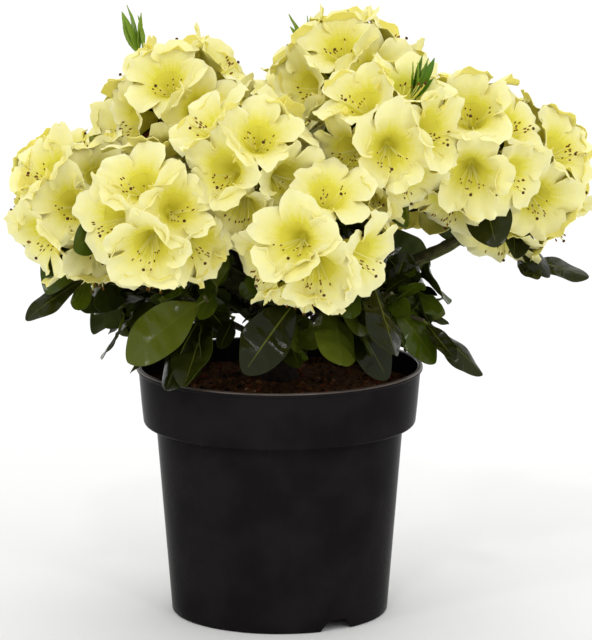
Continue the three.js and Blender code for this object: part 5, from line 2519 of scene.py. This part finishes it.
@dataclass
class Studio:
    """The pale floor, soft light and the camera at the photograph's angle."""

    distance: float = 3.6
    camera_x: float = 0.0129
    camera_z: float = 0.948
    pitch: float = 11.26
    lens: float = 263.7
    sensor: float = 36.0
    floor: float = 14.0
    floor_drop: float = 0.0005
    floor_tone: Colour = (0.88, 0.88, 0.88)
    floor_roughness: float = 0.9
    floor_specular: float = 0.1
    surround: float = 0.83
    lamps: tuple[Lamp, ...] = (
        Lamp("key", 240.0, 46.0, 0.14, 40.0),
        Lamp("lamp_left", 224.0, 30.0, 0.2, 4.0),
        Lamp("lamp_front", 262.0, 46.0, 0.2, 4.0),
        Lamp("lamp_right", 298.0, 34.0, 0.2, 4.0),
        Lamp("fill", 320.0, 30.0, 0.2, 60.0),
        Lamp("back", 80.0, 55.0, 0.75, 50.0),
    )

    def build(self) -> None:
        """Sets the camera, the floor and the light."""
        self.camera()
        self.ground()
        self.light()

    def camera(self) -> None:
        """Makes the camera."""
        data = bpy.data.cameras.new("camera")
        data.sensor_width = self.sensor
        data.lens = self.lens
        camera = bpy.data.objects.new("camera", data)
        camera.location = (self.camera_x, -self.distance, self.camera_z)
        camera.rotation_euler = (math.radians(90 - self.pitch), 0.0, 0.0)
        bpy.context.scene.collection.objects.link(camera)
        bpy.context.scene.camera = camera

    def ground(self) -> None:
        """Makes the floor, a pale sheet under the pot."""
        mesh = bpy.data.meshes.new("floor")
        half, z = self.floor, -self.floor_drop
        corners = [(x * half, y * half, z) for x, y in ((-1, -1), (1, -1), (1, 1), (-1, 1))]
        mesh.from_pydata(corners, [], [(0, 1, 2, 3)])
        pale = bpy.data.materials.new("floor_pale")
        pale.use_nodes = True
        fill(pale.node_tree.nodes["Principled BSDF"], {
            "Base Color": (*self.floor_tone, 1.0),
            "Roughness": self.floor_roughness,
            "Specular IOR Level": self.floor_specular,
        })
        mesh.materials.append(pale)
        ground = bpy.data.objects.new("floor", mesh)
        bpy.context.scene.collection.objects.link(ground)

    def light(self) -> None:
        """Makes a pale surround, broad soft lights and three small lamps that make leaves shine."""
        scene = bpy.context.scene
        world = bpy.data.worlds.new("surround")
        world.use_nodes = True
        fill(world.node_tree.nodes["Background"], {"Color": (1.0, 1.0, 1.0, 1.0), "Strength": self.surround})
        scene.world = world
        for lamp in self.lamps:
            data = bpy.data.lights.new(lamp.name, "SUN")
            data.energy = lamp.power
            data.angle = math.radians(lamp.breadth)
            light = bpy.data.objects.new(lamp.name, data)
            light.rotation_euler = (math.radians(90 - lamp.height), 0.0, math.radians(lamp.bearing + 90))
            scene.collection.objects.link(light)
        scene.view_settings.view_transform = "Standard"
        scene.view_settings.look = "None"


def main() -> None:
    """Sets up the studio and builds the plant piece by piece."""
    logging.basicConfig(level=logging.INFO, format="%(message)s")
    Studio().build()
    paints = Paints()
    growth = Growth()
    soil, wood, blossom, foliage = (np.random.default_rng((FINE_SEED, k)) for k in range(4))
    Pot(growth.pot, paints).build()
    SoilBed(growth.pot, paints, soil).build()
    Woodwork(growth, paints, wood).build()
    corolla, heart, stalks = Corolla(growth.flower, blossom), Heart(blossom), Stalks(growth, blossom)
    grown = Blossom(growth, paints, corolla, heart, stalks).build()
    Foliage(growth, paints, foliage, LeafBlade(foliage)).build(grown)


if __name__ == "__main__":
    main()
